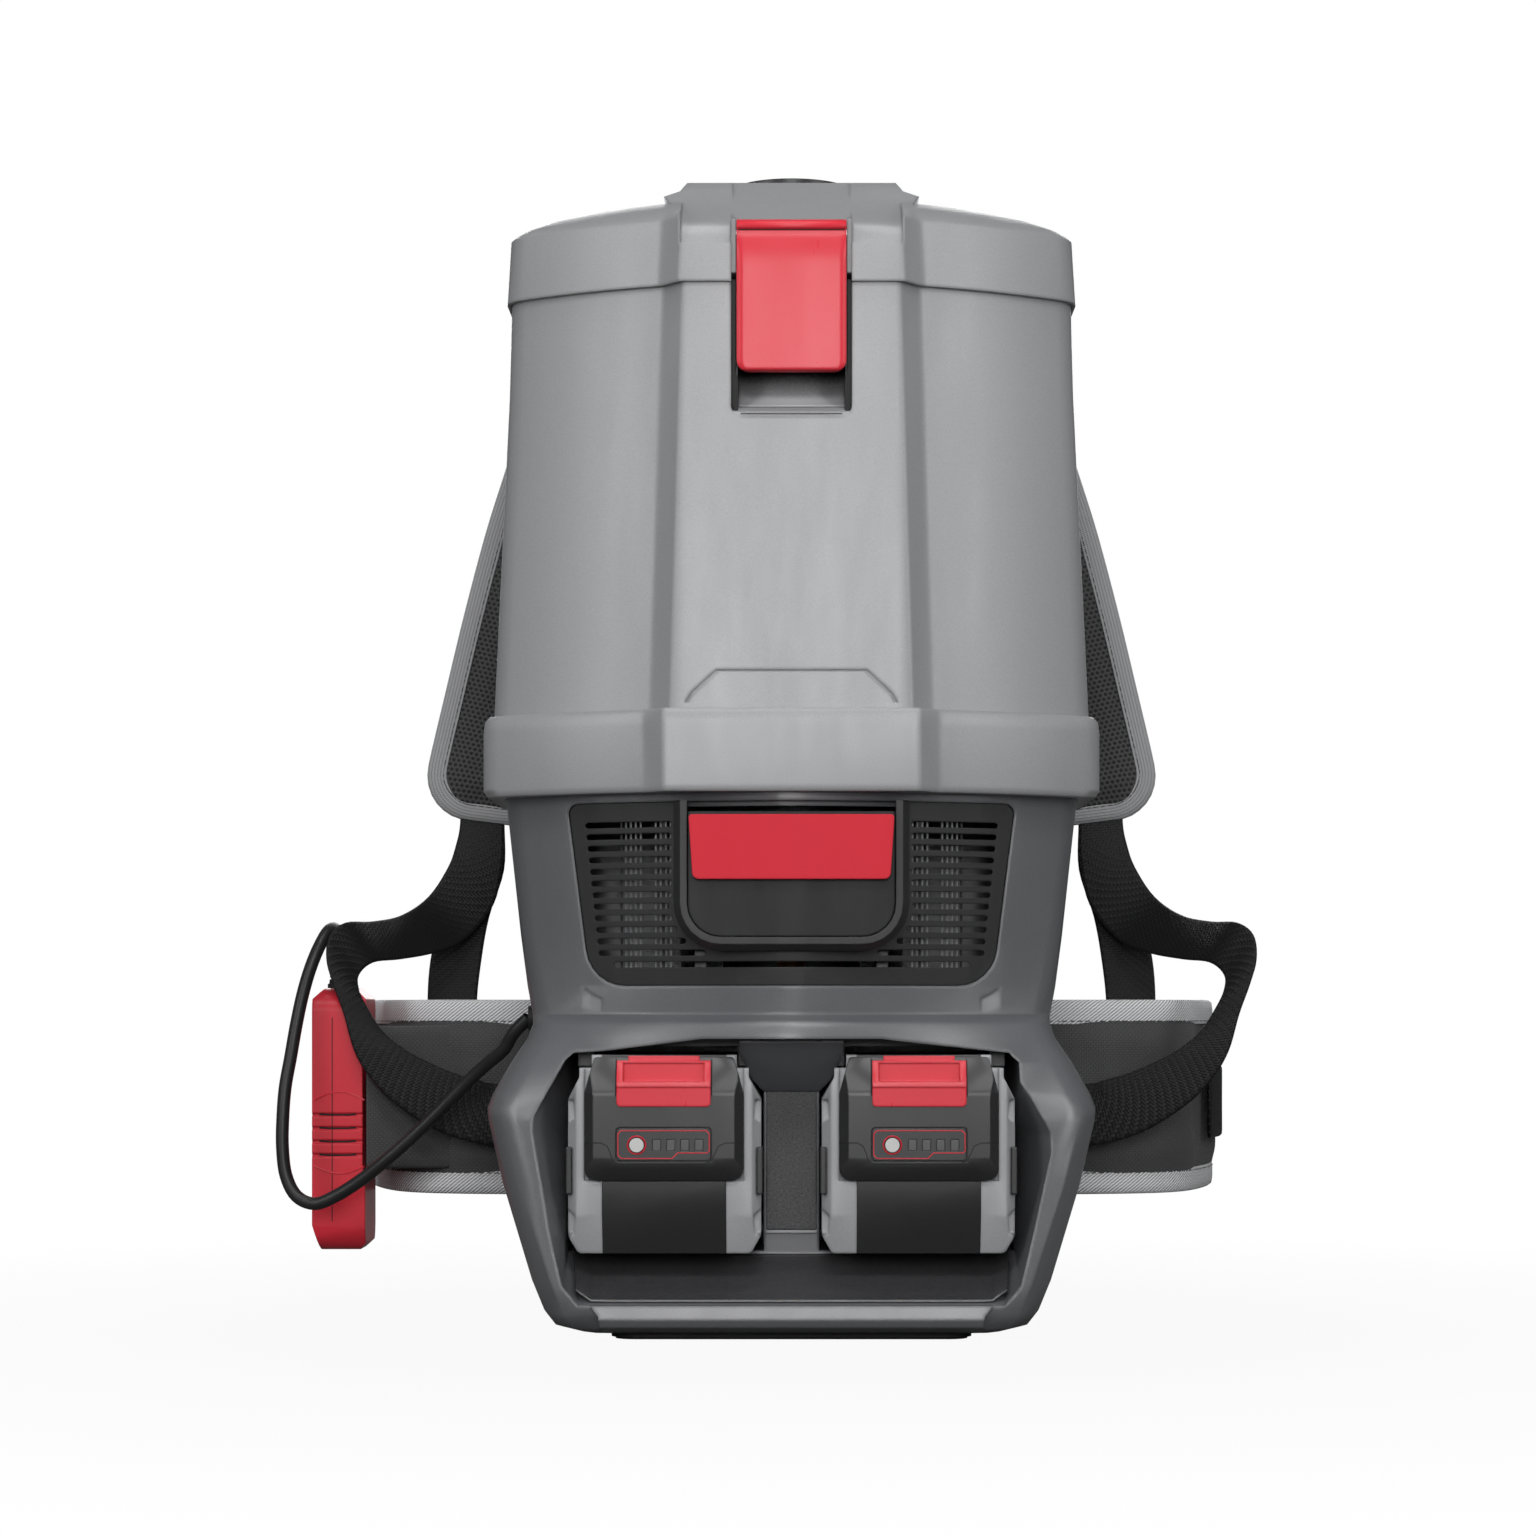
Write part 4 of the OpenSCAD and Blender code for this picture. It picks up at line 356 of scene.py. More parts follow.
def build(name, verts, faces, uvs, material, body, replaces=(), smooth=True):
    """Mesh object from points in metres; uvs holds one pair for each point or for each face corner."""
    mesh = bpy.data.meshes.new(name)
    mesh.from_pydata([tuple(v) for v in verts], [], faces)
    if uvs:
        layer = mesh.uv_layers.new(name="UVMap")
        if len(uvs) == len(verts):
            for loop in mesh.loops:
                layer.data[loop.index].uv = uvs[loop.vertex_index]
        else:
            for i, pair in enumerate(uvs):
                layer.data[i].uv = pair
    mesh.materials.append(material)
    if smooth:
        mesh.shade_smooth()
    mesh.validate()
    obj = bpy.data.objects.new(name, mesh)
    scene.collection.objects.link(obj)
    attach(obj, body)
    if replaces:
        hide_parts(*replaces)
    return obj


def grid(rows, columns, closed=False, wrap=False, start=0):
    """Quads between rows of points; closed joins last column to first, wrap last row to first."""
    quads = []
    for i in range(rows if wrap else rows - 1):
        a, b = start + i * columns, start + (i + 1) % rows * columns
        for k in range(columns if closed else columns - 1):
            q = (k + 1) % columns
            quads.append((a + k, a + q, b + q, b + k))
    return quads


def prism(n):
    """Faces of a prism from two outlines of n points."""
    return ([tuple(range(n)), tuple(range(2 * n - 1, n - 1, -1))]
            + [(i, n + i, n + (i + 1) % n, (i + 1) % n) for i in range(n)])


def circle(x, y, z, r, count):
    """Points (mm) round a centre in a plane that faces the front."""
    turns = [k * math.pi / (count / 2) for k in range(count)]
    return [Vector((x + r * math.cos(t), y, z + r * math.sin(t))) * MM for t in turns]


def thicken(obj, depth):
    mod = obj.modifiers.new("thickness", "SOLIDIFY")
    mod.thickness = depth
    mod.offset = -1


def curve_through(points, per=6):
    """Catmull-Rom curve through points of any dimension, per steps between neighbours."""
    pts = [tuple(2 * a - b for a, b in zip(points[0], points[1])), *points,
           tuple(2 * a - b for a, b in zip(points[-1], points[-2]))]
    out = []
    for i in range(1, len(pts) - 2):
        p0, p1, p2, p3 = pts[i - 1:i + 3]
        for k in range(per):
            t = k / per
            out.append(tuple(0.5 * (2 * b + (c - a) * t + (2 * a - 5 * b + 4 * c - d) * t * t
                                    + (3 * b - a - 3 * c + d) * t ** 3)
                             for a, b, c, d in zip(p0, p1, p2, p3)))
    out.append(tuple(points[-1]))
    return out


def metres(rows):
    return [tuple(v * MM for v in r) for r in rows]


class Band:
    """A flat shape bent along a route: across is the direction of its width, out that of its face."""

    def __init__(self, route, across):
        self.pts = [Vector(p[:3]) for p in route]
        self.width = [p[3] for p in route]
        self.at = [0.0]
        for a, b in zip(self.pts, self.pts[1:]):
            self.at.append(self.at[-1] + (b - a).length)
        self.length = self.at[-1]
        self.frames = []
        for i in range(len(self.pts)):
            t = (self.pts[min(i + 1, len(self.pts) - 1)] - self.pts[max(i - 1, 0)]).normalized()
            u = (Vector(across) - t * Vector(across).dot(t)).normalized()
            self.frames.append((t, u, t.cross(u).normalized()))

    def locate(self, l):
        l = max(0.0, min(self.length, l))
        lo, hi = 0, len(self.at) - 1
        while hi - lo > 1:
            mid = (lo + hi) // 2
            lo, hi = (mid, hi) if self.at[mid] <= l else (lo, mid)
        return lo, (l - self.at[lo]) / max(1e-9, self.at[hi] - self.at[lo])

    def point(self, a, l, h):
        i, f = self.locate(l)
        j = min(i + 1, len(self.pts) - 1)
        u = self.frames[i][1].lerp(self.frames[j][1], f).normalized()
        n = self.frames[i][2].lerp(self.frames[j][2], f).normalized()
        return self.pts[i].lerp(self.pts[j], f) + u * a + n * h

    def half(self, l, ends):
        """Half width at l, drawn in round the ends; ends are the two corner radii."""
        i, f = self.locate(l)
        j = min(i + 1, len(self.pts) - 1)
        w = self.width[i] * (1 - f) + self.width[j] * f
        for d, r in ((l, ends[0]), (self.length - l, ends[1])):
            if d < r:
                w -= r * (1 - math.sqrt(max(0.0, 1 - (1 - d / r) ** 2)))
        return max(w, MIN_HALF_WIDTH)


def stations(length, ends, step):
    """Places along a band, closer together where its ends are round."""
    out = []
    for k in range(ROUND_STEPS + 1):
        out.append(ends[0] * (1 - math.cos(math.pi / 2 * k / ROUND_STEPS)))
    n = max(2, round((length - ends[0] - ends[1]) / step))
    out += [ends[0] + (length - ends[0] - ends[1]) * k / n for k in range(1, n)]
    for k in range(ROUND_STEPS, -1, -1):
        out.append(length - ends[1] * (1 - math.cos(math.pi / 2 * k / ROUND_STEPS)))
    return out


def smooth_step(x):
    x = max(0.0, min(1.0, x))
    return x * x * (3 - 2 * x)


def swell(obj, free, pressure, cap, steps=16):
    """Blows the covered foam up with a cloth simulation; only free points move, by cap at most."""
    mesh = obj.data
    rest = [v.co.copy() for v in mesh.vertices]
    group = obj.vertex_groups.new(name="held")
    group.add([i for i in range(len(rest)) if not free[i]], 1.0, "REPLACE")
    mod = obj.modifiers.new("cloth", "CLOTH")
    cs = mod.settings
    cs.quality = 5
    cs.mass = 0.3
    cs.tension_stiffness = 12
    cs.compression_stiffness = 12
    cs.shear_stiffness = 6
    cs.bending_stiffness = 0.6
    cs.vertex_group_mass = "held"
    cs.use_pressure = True
    cs.uniform_pressure_force = pressure
    cs.effector_weights.gravity = 0
    mod.point_cache.frame_start = 1
    mod.point_cache.frame_end = steps
    for f in range(1, steps + 1):
        scene.frame_set(f)
    shape = obj.evaluated_get(bpy.context.evaluated_depsgraph_get()).to_mesh()
    moved = [v.co.copy() for v in shape.vertices]
    obj.modifiers.remove(mod)
    scene.frame_set(1)
    for v, a, b in zip(mesh.vertices, rest, moved):
        d = b - a
        if d.length > cap:
            d = d.normalized() * cap
        v.co = a + d
    mesh.update()


def pad(name, band, ends, rise, rim, body, slot_name, replaces, across=16, step=0.007, pressure=3.0,
        cap=0.0035, flat_back=False, tape_w=0.0102, channels=(), tape_finish=None):
    """A padded piece with its tape.

    rise is the crown's height over the rim, rim half the edge's thickness, ends the corner radii.
    """
    rows = stations(band.length, ends, step)
    verts, uvs, free = [], [], []
    n = across
    for side in (1, -1):
        for l in rows:
            w = band.half(l, ends)
            for k in range(n + 1):
                s = -1 + 2 * k / n
                s = math.copysign(abs(s) ** 0.85, s)
                a = s * (w - 0.0006)
                gap = min(w - abs(a), l, band.length - l)
                if l < ends[0] or band.length - l < ends[1]:
                    r = ends[0] if l < ends[0] else ends[1]
                    d = l if l < ends[0] else band.length - l
                    full = band.half(r if l < ends[0] else band.length - r, (0.0001, 0.0001))
                    inner = full - r
                    x, y = max(0.0, abs(a) - inner), r - d
                    gap = min(gap, r - math.hypot(x, y)) if x > 0 else min(gap, d)
                lift = smooth_step((gap - tape_w * 0.62) / 0.016)
                h = rim + rise * lift
                for c in channels:
                    h -= 0.75 * rise * lift * math.exp(-((a - c) / 0.0055) ** 2)
                if side < 0:
                    h = rim if flat_back else h
                edge = k in (0, n) or l in (rows[0], rows[-1])
                h = 0.0 if edge else h
                verts.append(band.point(a, l, side * h))
                uvs.append((a, l))
                free.append(gap > tape_w * 0.8 and not edge and (side > 0 or not flat_back))
    face_count = len(rows) * (n + 1)
    faces = grid(len(rows), n + 1) + [q[::-1] for q in grid(len(rows), n + 1, start=face_count)]

    # Points that coincide are welded, and faces that shrink to a line go
    first_at, index = {}, []
    for i, v in enumerate(verts):
        index.append(first_at.setdefault((round(v.x, 6), round(v.y, 6), round(v.z, 6)), i))
    used = sorted(set(index))
    new = {old: k for k, old in enumerate(used)}
    welded = [tuple(dict.fromkeys(new[index[i]] for i in f)) for f in faces]
    welded = [f for f in welded if len(f) > 2]
    verts = [verts[i] for i in used]
    uvs = [uvs[i] for i in used]
    free = [free[i] for i in used]
    obj = build(name, verts, welded, uvs, MATS[slot_name], body, replaces)
    swell(obj, free, pressure, cap)
    sub = obj.modifiers.new("smooth", "SUBSURF")
    sub.levels = sub.render_levels = 1

    # Tape folded over the edge
    loop = [(-band.half(l, ends), l) for l in rows] + [(band.half(l, ends), l) for l in reversed(rows)]
    clean = [loop[0]]
    for p in loop[1:]:
        if math.hypot(p[0] - clean[-1][0], p[1] - clean[-1][1]) > 0.0008:
            clean.append(p)
    loop = clean
    section = [(tape_w, rim + 0.0001), (tape_w * 0.8, rim + 0.0007), (tape_w * 0.35, rim + 0.0007),
               (0.0006, rim * 0.86 + 0.0005), (-0.0006, rim * 0.45), (-0.0008, 0.0), (-0.0006, -rim * 0.45),
               (0.0006, -rim * 0.86 - 0.0005), (tape_w * 0.35, -rim - 0.0007), (tape_w * 0.8, -rim - 0.0007),
               (tape_w, -rim - 0.0001)]
    wide = [0.0]
    for p, q in zip(section, section[1:]):
        wide.append(wide[-1] + math.hypot(p[0] - q[0], p[1] - q[1]))
    count = len(loop)
    tv, tuv, tf, along = [], [], [], 0.0
    normals = []
    for i in range(count):
        a, b = loop[i - 1], loop[(i + 1) % count]
        t = (b[0] - a[0], b[1] - a[1])
        k = math.hypot(*t) or 1.0
        normals.append((t[1] / k, -t[0] / k))
    for i, p in enumerate(loop):
        inward = normals[i]
        for j, (d, h) in enumerate(section):
            tv.append(band.point(p[0] + inward[0] * d, p[1] + inward[1] * d, h))
    for i in range(count):
        q = (i + 1) % count
        step_l = math.hypot(loop[q][0] - loop[i][0], loop[q][1] - loop[i][1])
        for j in range(len(section) - 1):
            a, b = i * len(section) + j, q * len(section) + j
            tf.append((a, b, b + 1, a + 1))
            tuv += [(wide[j], along), (wide[j], along + step_l), (wide[j + 1], along + step_l),
                    (wide[j + 1], along)]
        along += step_l
    build(name + "_tape", tv, tf, tuv, tape_finish or PAD_TAPE, body)

    # Stitches along the tape's inner edge
    sv, sf = [], []
    pitch, dash, carry = 0.0042, 0.0028, 0.0
    for i in range(count):
        a, b = loop[i], loop[(i + 1) % count]
        seg = math.hypot(b[0] - a[0], b[1] - a[1])
        pos = carry
        while pos < seg:
            f0, f1 = pos / seg, min(1.0, (pos + dash) / seg)
            tips = []
            for f in (f0, f1):
                x, y = a[0] + (b[0] - a[0]) * f, a[1] + (b[1] - a[1]) * f
                nx, ny = normals[i]
                tips.append((x + nx * (tape_w - 0.0016), y + ny * (tape_w - 0.0016), nx, ny))
            for sgn in ((1,) if flat_back else (1, -1)):
                k = len(sv)
                for x, y, nx, ny in tips:
                    for dd, hh in ((-0.00035, 0.0004), (0.0, 0.00105), (0.00035, 0.0004)):
                        sv.append(band.point(x + nx * dd, y + ny * dd, sgn * (rim + hh)))
                sf += [(k, k + 3, k + 4, k + 1), (k + 1, k + 4, k + 5, k + 2)]
            pos += pitch
        carry = pos - seg
    build(name + "_stitches", sv, sf, None, THREAD, body)


def ribbon(name, left, right, thick, material, body, replaces=(), per=5):
    """Webbing between two edges, with rounded selvedges."""
    a = [Vector(p) for p in curve_through(metres(left), per)]
    b = [Vector(p) for p in curve_through(metres(right), per)]
    mid = [(p + q) / 2 for p, q in zip(a, b)]
    t = thick / 2
    section = [(0.0, 0.0), (0.02, 0.8), (0.07, 1.0), (0.5, 0.94), (0.93, 1.0), (0.98, 0.8), (1.0, 0.0),
               (0.98, -0.8), (0.93, -1.0), (0.5, -0.94), (0.07, -1.0), (0.02, -0.8)]
    verts, faces, uvs, along = [], [], [], [0.0]
    for i in range(1, len(mid)):
        along.append(along[-1] + (mid[i] - mid[i - 1]).length)
    for i in range(len(mid)):
        direction = (mid[min(i + 1, len(mid) - 1)] - mid[max(i - 1, 0)]).normalized()
        n = direction.cross(b[i] - a[i]).normalized() * t
        for s, h in section:
            verts.append(a[i].lerp(b[i], s) + n * h)
    k = len(section)
    width = (b[0] - a[0]).length
    for i in range(len(mid) - 1):
        for j in range(k):
            q = (j + 1) % k
            faces.append((i * k + j, (i + 1) * k + j, (i + 1) * k + q, i * k + q))
            u0, u1 = section[j][0] * width, section[q][0] * width
            uvs += [(u0, along[i]), (u0, along[i + 1]), (u1, along[i + 1]), (u1, along[i])]
    first, last = tuple(range(k)), tuple((len(mid) - 1) * k + j for j in reversed(range(k)))
    faces += [first, last]
    uvs += [(section[j][0] * width, 0.0) for j in first]
    uvs += [(section[j % k][0] * width, along[-1]) for j in last]
    return build(name, verts, faces, uvs, material, body, replaces)


def mirrored(rows):
    return [(-r[0], *r[1:]) for r in rows]


# ---------------------------------------------------------------- control cord

CORD = metres([
    (-138, 30, 158), (-146, 33, 150), (-152, 38, 141), (-162, 46, 133), (-172, 52, 124), (-182, 56, 114),
    (-193, 59, 103), (-206, 62, 91), (-219, 65, 80), (-232, 69, 70), (-245, 72, 62), (-256, 74, 58),
    (-266, 76, 62), (-272, 78, 73), (-274, 79, 88), (-274, 80, 103), (-273, 82, 120), (-270.5, 86, 137),
    (-268, 89.5, 154), (-265, 92.5, 170), (-261.5, 96.5, 184), (-257.5, 102.5, 196), (-253.8, 111, 204.5),
    (-251.2, 121, 207), (-250, 129.5, 203), (-250, 133.6, 196), (-250, 134, 188)])
line = curve_through(CORD, 5)
cord_curve = bpy.data.curves.new("control_lead", "CURVE")
cord_curve.dimensions = "3D"
cord_curve.bevel_depth = 0.0035
cord_curve.bevel_resolution = 5
spline = cord_curve.splines.new("POLY")
spline.points.add(len(line) - 1)
for point, p in zip(spline.points, line):
    point.co = (*p, 1.0)
cord_curve.materials.append(MATS["cord_rubber"])
lead = bpy.data.objects.new("control_lead", cord_curve)
scene.collection.objects.link(lead)
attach(lead, "housing")
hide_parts("control_cord")

# ---------------------------------------------------------------- harness

SHOULDER = [(56, 102.8, 414, 29), (62, 104.8, 446, 30), (76, 122, 478, 32), (92, 146, 498, 34),
            (106, 170, 501, 35), (118, 188, 486, 36), (127, 197, 458, 37), (138, 200, 425, 37),
            (150, 200, 380, 37), (162, 200, 330, 37), (169, 199, 300, 37), (172, 198, 284, 37),
            (174, 198, 269, 36)]
for side, rows in (("right", SHOULDER), ("left", mirrored(SHOULDER))):
    band = Band(curve_through(metres(rows), 5), (1, 0, 0))
    pad("shoulder_cover_" + side, band, (0.012, 0.026), 0.0040, 0.0024, "housing", "pad_fabric",
        ["shoulder_pad_" + side])

BELT = [(2, 106), (45, 106), (90, 106), (135, 108), (172, 113), (200, 124), (216, 141), (225, 162),
        (232, 186), (238, 212), (241, 240), (239, 268), (233, 287)]
for side, sign in reversed(SIDES):
    rows = [(sign * x, y, 114.5, 52.4) for x, y in BELT]
    rows[-1] = (*rows[-1][:3], 47.0)
    band = Band(curve_through(metres(rows), 4), (0, 0, 1))
    pad("belt_cover_" + side, band, (0.004, 0.030), 0.0036, 0.0026, "housing", "belt_fabric",
        ["belt_" + side], across=18, tape_w=0.0125, tape_finish=BELT_TAPE)

BACK = [(0, 97.2, 170, 84), (0, 97.2, 200, 90), (0, 97.2, 230, 90.5), (0, 97.2, 300, 86), (0, 97.2, 392, 80)]
pad("back_cushion", Band(curve_through(metres(BACK), 4), (1, 0, 0)), (0.030, 0.030), 0.0165, 0.0024,
    "housing", "pad_fabric", ["back_pad"], across=30, flat_back=True, channels=(-0.030, 0.030),
    pressure=2.5, cap=0.003)

LOOP_OUTER = [(-189, 198, 288), (-189, 197, 268.4), (-191, 193, 256), (-195, 187, 243),
              (-205, 176, 226), (-218, 154, 215), (-232, 131, 211), (-244, 113, 210), (-252, 105, 203),
              (-253, 99, 190), (-249, 96, 176), (-243, 94, 160), (-237, 92, 140), (-228, 91, 125),
              (-213, 90, 110), (-188, 90, 95), (-160, 92, 88), (-126, 96, 88), (-100, 97.7, 88)]
LOOP_INNER = [(-164, 198, 288), (-164, 197, 268.4), (-164, 193, 248), (-169, 187, 222),
              (-184, 176, 202), (-199, 154, 194), (-216, 131, 190), (-229, 113, 188), (-236, 106, 181),
              (-235, 100, 172), (-230, 96, 163), (-222, 94, 151), (-210, 92, 141), (-197, 91, 134),
              (-183, 90, 128), (-169, 90, 124), (-160, 92, 122), (-126, 96, 120), (-100, 97.7, 120)]
TAIL_OUTER = [(-188, 201, 288), (-188, 202.5, 268), (-192, 199, 242), (-200, 193, 215),
              (-205, 187, 190), (-206, 181, 165), (-204, 178, 140)]
TAIL_INNER = [(-164, 201, 288), (-164, 202.5, 268), (-164, 199, 242), (-172, 193, 215),
              (-176, 187, 190), (-178, 181, 165), (-176, 178, 140)]
for side, flip in (("left", list), ("right", mirrored)):
    ribbon("strap_web_" + side, flip(LOOP_OUTER), flip(LOOP_INNER), WEBBING_THICK, MATS["webbing"],
           "housing", ["strap_" + side])
    ribbon("strap_tail_" + side, flip(TAIL_OUTER), flip(TAIL_INNER), WEBBING_THICK, MATS["webbing"],
           "housing")

WAIST_WEB = [(234.6, 165.6), (240, 184), (246, 211), (249, 240), (248, 269), (241, 296), (226, 318),
             (196, 337), (150, 349), (90, 355), (32, 356)]
for side, sign in reversed(SIDES):
    top = [(sign * x, y, 130) for x, y in WAIST_WEB]
    low = [(sign * x, y, 90) for x, y in WAIST_WEB]
    ribbon("waist_web_" + side, top, low, WEBBING_THICK, MATS["webbing"], "housing",
           ["belt_webbing"] if side == "right" else [])

# Flap of belt fabric up to the handset's edge
FLAP = [(-184, 115), (-194, 112.8), (-204, 110.2), (-215, 107), (-225, 104.2), (-231.6, 102.8)]
ribbon("belt_flap", [(x, y, 153.5) for x, y in FLAP], [(x, y, 75.5) for x, y in FLAP], 0.003,
       MATS["belt_fabric"], "housing")

# ---------------------------------------------------------------- dust bag

# Height, width and depth of the bag's rows, from its foot to its collar
BAG = [(352, 150, 80), (356, 178, 102), (362, 196, 116), (380, 208, 124), (400, 216, 130), (425, 215, 130),
       (450, 212, 128), (472, 198, 120), (490, 180, 110), (500, 140, 94), (506, 104, 82), (507.6, 80, 76)]
BAG_AROUND = 96
bag_rows = curve_through(BAG, 3)
verts, uvs = [], []
for z, w, d in bag_rows:
    for k in range(BAG_AROUND):
        t = 2 * math.pi * k / BAG_AROUND
        c, s = math.cos(t), math.sin(t)
        x = math.copysign(abs(c) ** 0.55, c) * w / 2
        y = math.copysign(abs(s) ** 0.55, s) * d / 2
        crease = (noise.noise(Vector((c * 3.0, s * 3.0, z * 0.035))) * 2.6
                  + noise.noise(Vector((c * 9, s * 9, z * 0.09))) * 1.2)
        shrink = 1 - (1.6 + abs(crease)) / max(w, d) * 2
        verts.append(Vector((x * shrink, 2 + y * shrink, z)) * MM)
        uvs.append((t * 0.05, z * MM))
faces = grid(len(bag_rows), BAG_AROUND, closed=True)
faces += [tuple(reversed(range(BAG_AROUND))),
          tuple((len(bag_rows) - 1) * BAG_AROUND + k for k in range(BAG_AROUND))]
build("paper_bag", verts, faces, uvs, MATS["bag_paper"], "housing", ["dust_bag"])

# ---------------------------------------------------------------- gauge outlines on the packs


def line_loop(points, width):
    """Flat closed line: outer and inner offset of a polygon in x and z."""
    n = len(points)
    out, inn = [], []
    for i in range(n):
        a, b, c = points[i - 1], points[i], points[(i + 1) % n]
        d1 = Vector((b[0] - a[0], b[1] - a[1])).normalized()
        d2 = Vector((c[0] - b[0], c[1] - b[1])).normalized()
        m = (Vector((d1.y, -d1.x)) + Vector((d2.y, -d2.x)))
        m = m / max(0.5, m.length_squared / 2)
        out.append((b[0] + m.x * width / 2, b[1] + m.y * width / 2))
        inn.append((b[0] - m.x * width / 2, b[1] - m.y * width / 2))
    return out, inn


PACK_X = 62.5
GAUGE = [(-22.3, 91.2), (-20.6, 89.5), (4.2, 89.5), (6.8, 92.2), (21.4, 92.2), (22.3, 93.2), (22.3, 101.6),
         (20.8, 103.1), (-20.8, 103.1), (-22.3, 101.6)]
GAUGE_FRONT, GAUGE_REAR = -105.42, -105.15
RING = ((4.75, -105.45), (4.05, -105.5), (3.95, -105.0), (4.8, -105.0))
for side, sign in SIDES:
    cx = sign * PACK_X
    pts = [(cx + x, z) for x, z in GAUGE]
    out, inn = line_loop(pts, 0.55)
    verts = []
    for ring, y in ((out, GAUGE_FRONT), (inn, GAUGE_FRONT), (inn, GAUGE_REAR), (out, GAUGE_REAR)):
        verts += [Vector((x, y, z)) * MM for x, z in ring]
    build("gauge_line_" + side, verts, grid(4, len(pts), True, True), None, MATS["red_plastic"],
          "pack_" + side, smooth=False)
    verts = [v for r, y in RING for v in circle(cx - 13.2, y, 96, r, 32)]
    build("gauge_ring_" + side, verts, grid(4, 32, True, True), None, MATS["red_plastic"],
          "pack_" + side)

# ---------------------------------------------------------------- small pieces


def plate(name, outline, y0, y1, material, body, bevel=0.0006, segments=2):
    """Moulded plate between two depths, from its outline in x and z (mm), with rounded edges."""
    n = len(outline)
    verts = [Vector((x, y, z)) * MM for y in (y0, y1) for x, z in outline]
    faces = prism(n)
    area = sum(outline[i - 1][0] * outline[i][1] - outline[i][0] * outline[i - 1][1] for i in range(n))
    if area < 0:
        faces = [f[::-1] for f in faces]
    obj = build(name, verts, faces, None, material, body)
    mod = obj.modifiers.new("edges", "BEVEL")
    mod.width = bevel
    mod.segments = segments
    mod.harden_normals = True
    return obj


def seam(name, points, width, height, material, body, out=(0, -1, 0)):
    """Fine raised or shadow line along points (mm) on a surface that faces out."""
    pts = [Vector(p) * MM for p in points]
    n, verts = len(pts), []
    face = Vector(out).normalized()
    for i, p in enumerate(pts):
        a = pts[i - 1] if i else p
        b = pts[i + 1] if i < n - 1 else p
        side = (b - a).normalized().cross(face).normalized() * width * MM / 2
        verts += [p + side, p + side * 0.6 + face * height * MM, p - side * 0.6 + face * height * MM,
                  p - side]
    return build(name, verts, grid(n, 4), None, material, body)


PACK_FACE = -105.0
for side, sign in SIDES:
    cx = sign * PACK_X
    body = "pack_" + side
    for tab, d in (("inner", -1 if cx > 0 else 1), ("outer", 1 if cx > 0 else -1)):
        outline = [(cx + d * 45.3, 71.5), (cx + d * 48.4, 71.5), (cx + d * 48.4, 94.8), (cx + d * 45.3, 94.8)]
        plate("pack_rail_%s_%s" % (side, tab), outline, -96.5, -84, MATS["black_plastic"], body)
    cap = [(-38.9, -100.9, 97.1), (-37, -102.6, 97.1), (-34.5, PACK_FACE, 97.1), (-30.5, PACK_FACE, 97.1),
           (-27.6, PACK_FACE, 95.6), (-26, PACK_FACE, 92), (-25, PACK_FACE, 88.8),
           (-22.6, PACK_FACE, 86.8), (20, PACK_FACE, 86.8), (23.5, PACK_FACE, 88.8),
           (25.2, PACK_FACE, 92), (26.8, PACK_FACE, 95.6), (30.5, PACK_FACE, 97.1), (34.5, PACK_FACE, 97.1),
           (37, -102.6, 97.1), (38.9, -100.9, 97.1)]
    for i in range(4):
        x0 = cx - 5.4 + 6.9 * i
        window = [(x0 + 0.1, 93.4), (x0 + 3.9, 93.4), (x0 + 3.9, 98.6), (x0 + 0.1, 98.6)]
        plate("gauge_window_%s_%d" % (side, i), window, -105.25, -104.9, WINDOW, body,
              0.0002)
    seam("cap_seam_" + side, [(cx + x, y - 0.02, z) for x, y, z in cap], 0.55, 0.06, SEAM_SHADOW, body)

# Panel between the packs, with its lip
plate("bay_panel", [(-12.6, 52.4), (12.6, 52.4), (12.6, 122), (-12.6, 122)], -65.6, -64.1, GRAIN,
      "housing")
plate("bay_panel_lip", [(-12.8, 50.6), (12.8, 50.6), (12.8, 52.2), (-12.8, 52.2)], -66.6, -64.1, TRIM,
      "housing", 0.0004)

# Brow of the bay, sloping back from the canopy to the panel
BROW = [(-25.5, 147), (25.5, 147), (25.5, 140.5), (20, 128), (14, 121.5), (-14, 121.5), (-20, 128),
        (-25.5, 140.5)]
brow_at = [(x, -98 + (147 - z) / 25.5 * 31, z) for x, z in BROW]
verts = [Vector((x, y + dy, z)) * MM for dy in (0, 2) for x, y, z in brow_at]
build("bay_brow", verts, prism(len(BROW)), None, MATS["housing_grey"], "housing",
      smooth=False)

# Fins behind the louvres
FIN = ((-0.5, 3), (-0.5, 0.4), (-0.2, 0), (0.2, 0), (0.5, 0.4), (0.5, 3))
for side, sign in SIDES:
    verts, faces = [], []
    for x in (59.5, 62, 64.5, 67, 74.5, 77, 79.5, 82):
        k = len(verts)
        for z in (181, 259):
            front = -84.6 + (x - 62) * 0.43 - 0.058 * (z - 180)
            verts += [Vector((sign * x + dx, front + dy, z)) * MM for dx, dy in FIN]
        faces += grid(2, len(FIN), closed=True, start=k)
        faces += [tuple(k + 5 - i for i in range(6)), tuple(k + 6 + i for i in range(6))]
    build("grille_fins_" + side, verts, faces, None, TRIM, "housing", smooth=False)

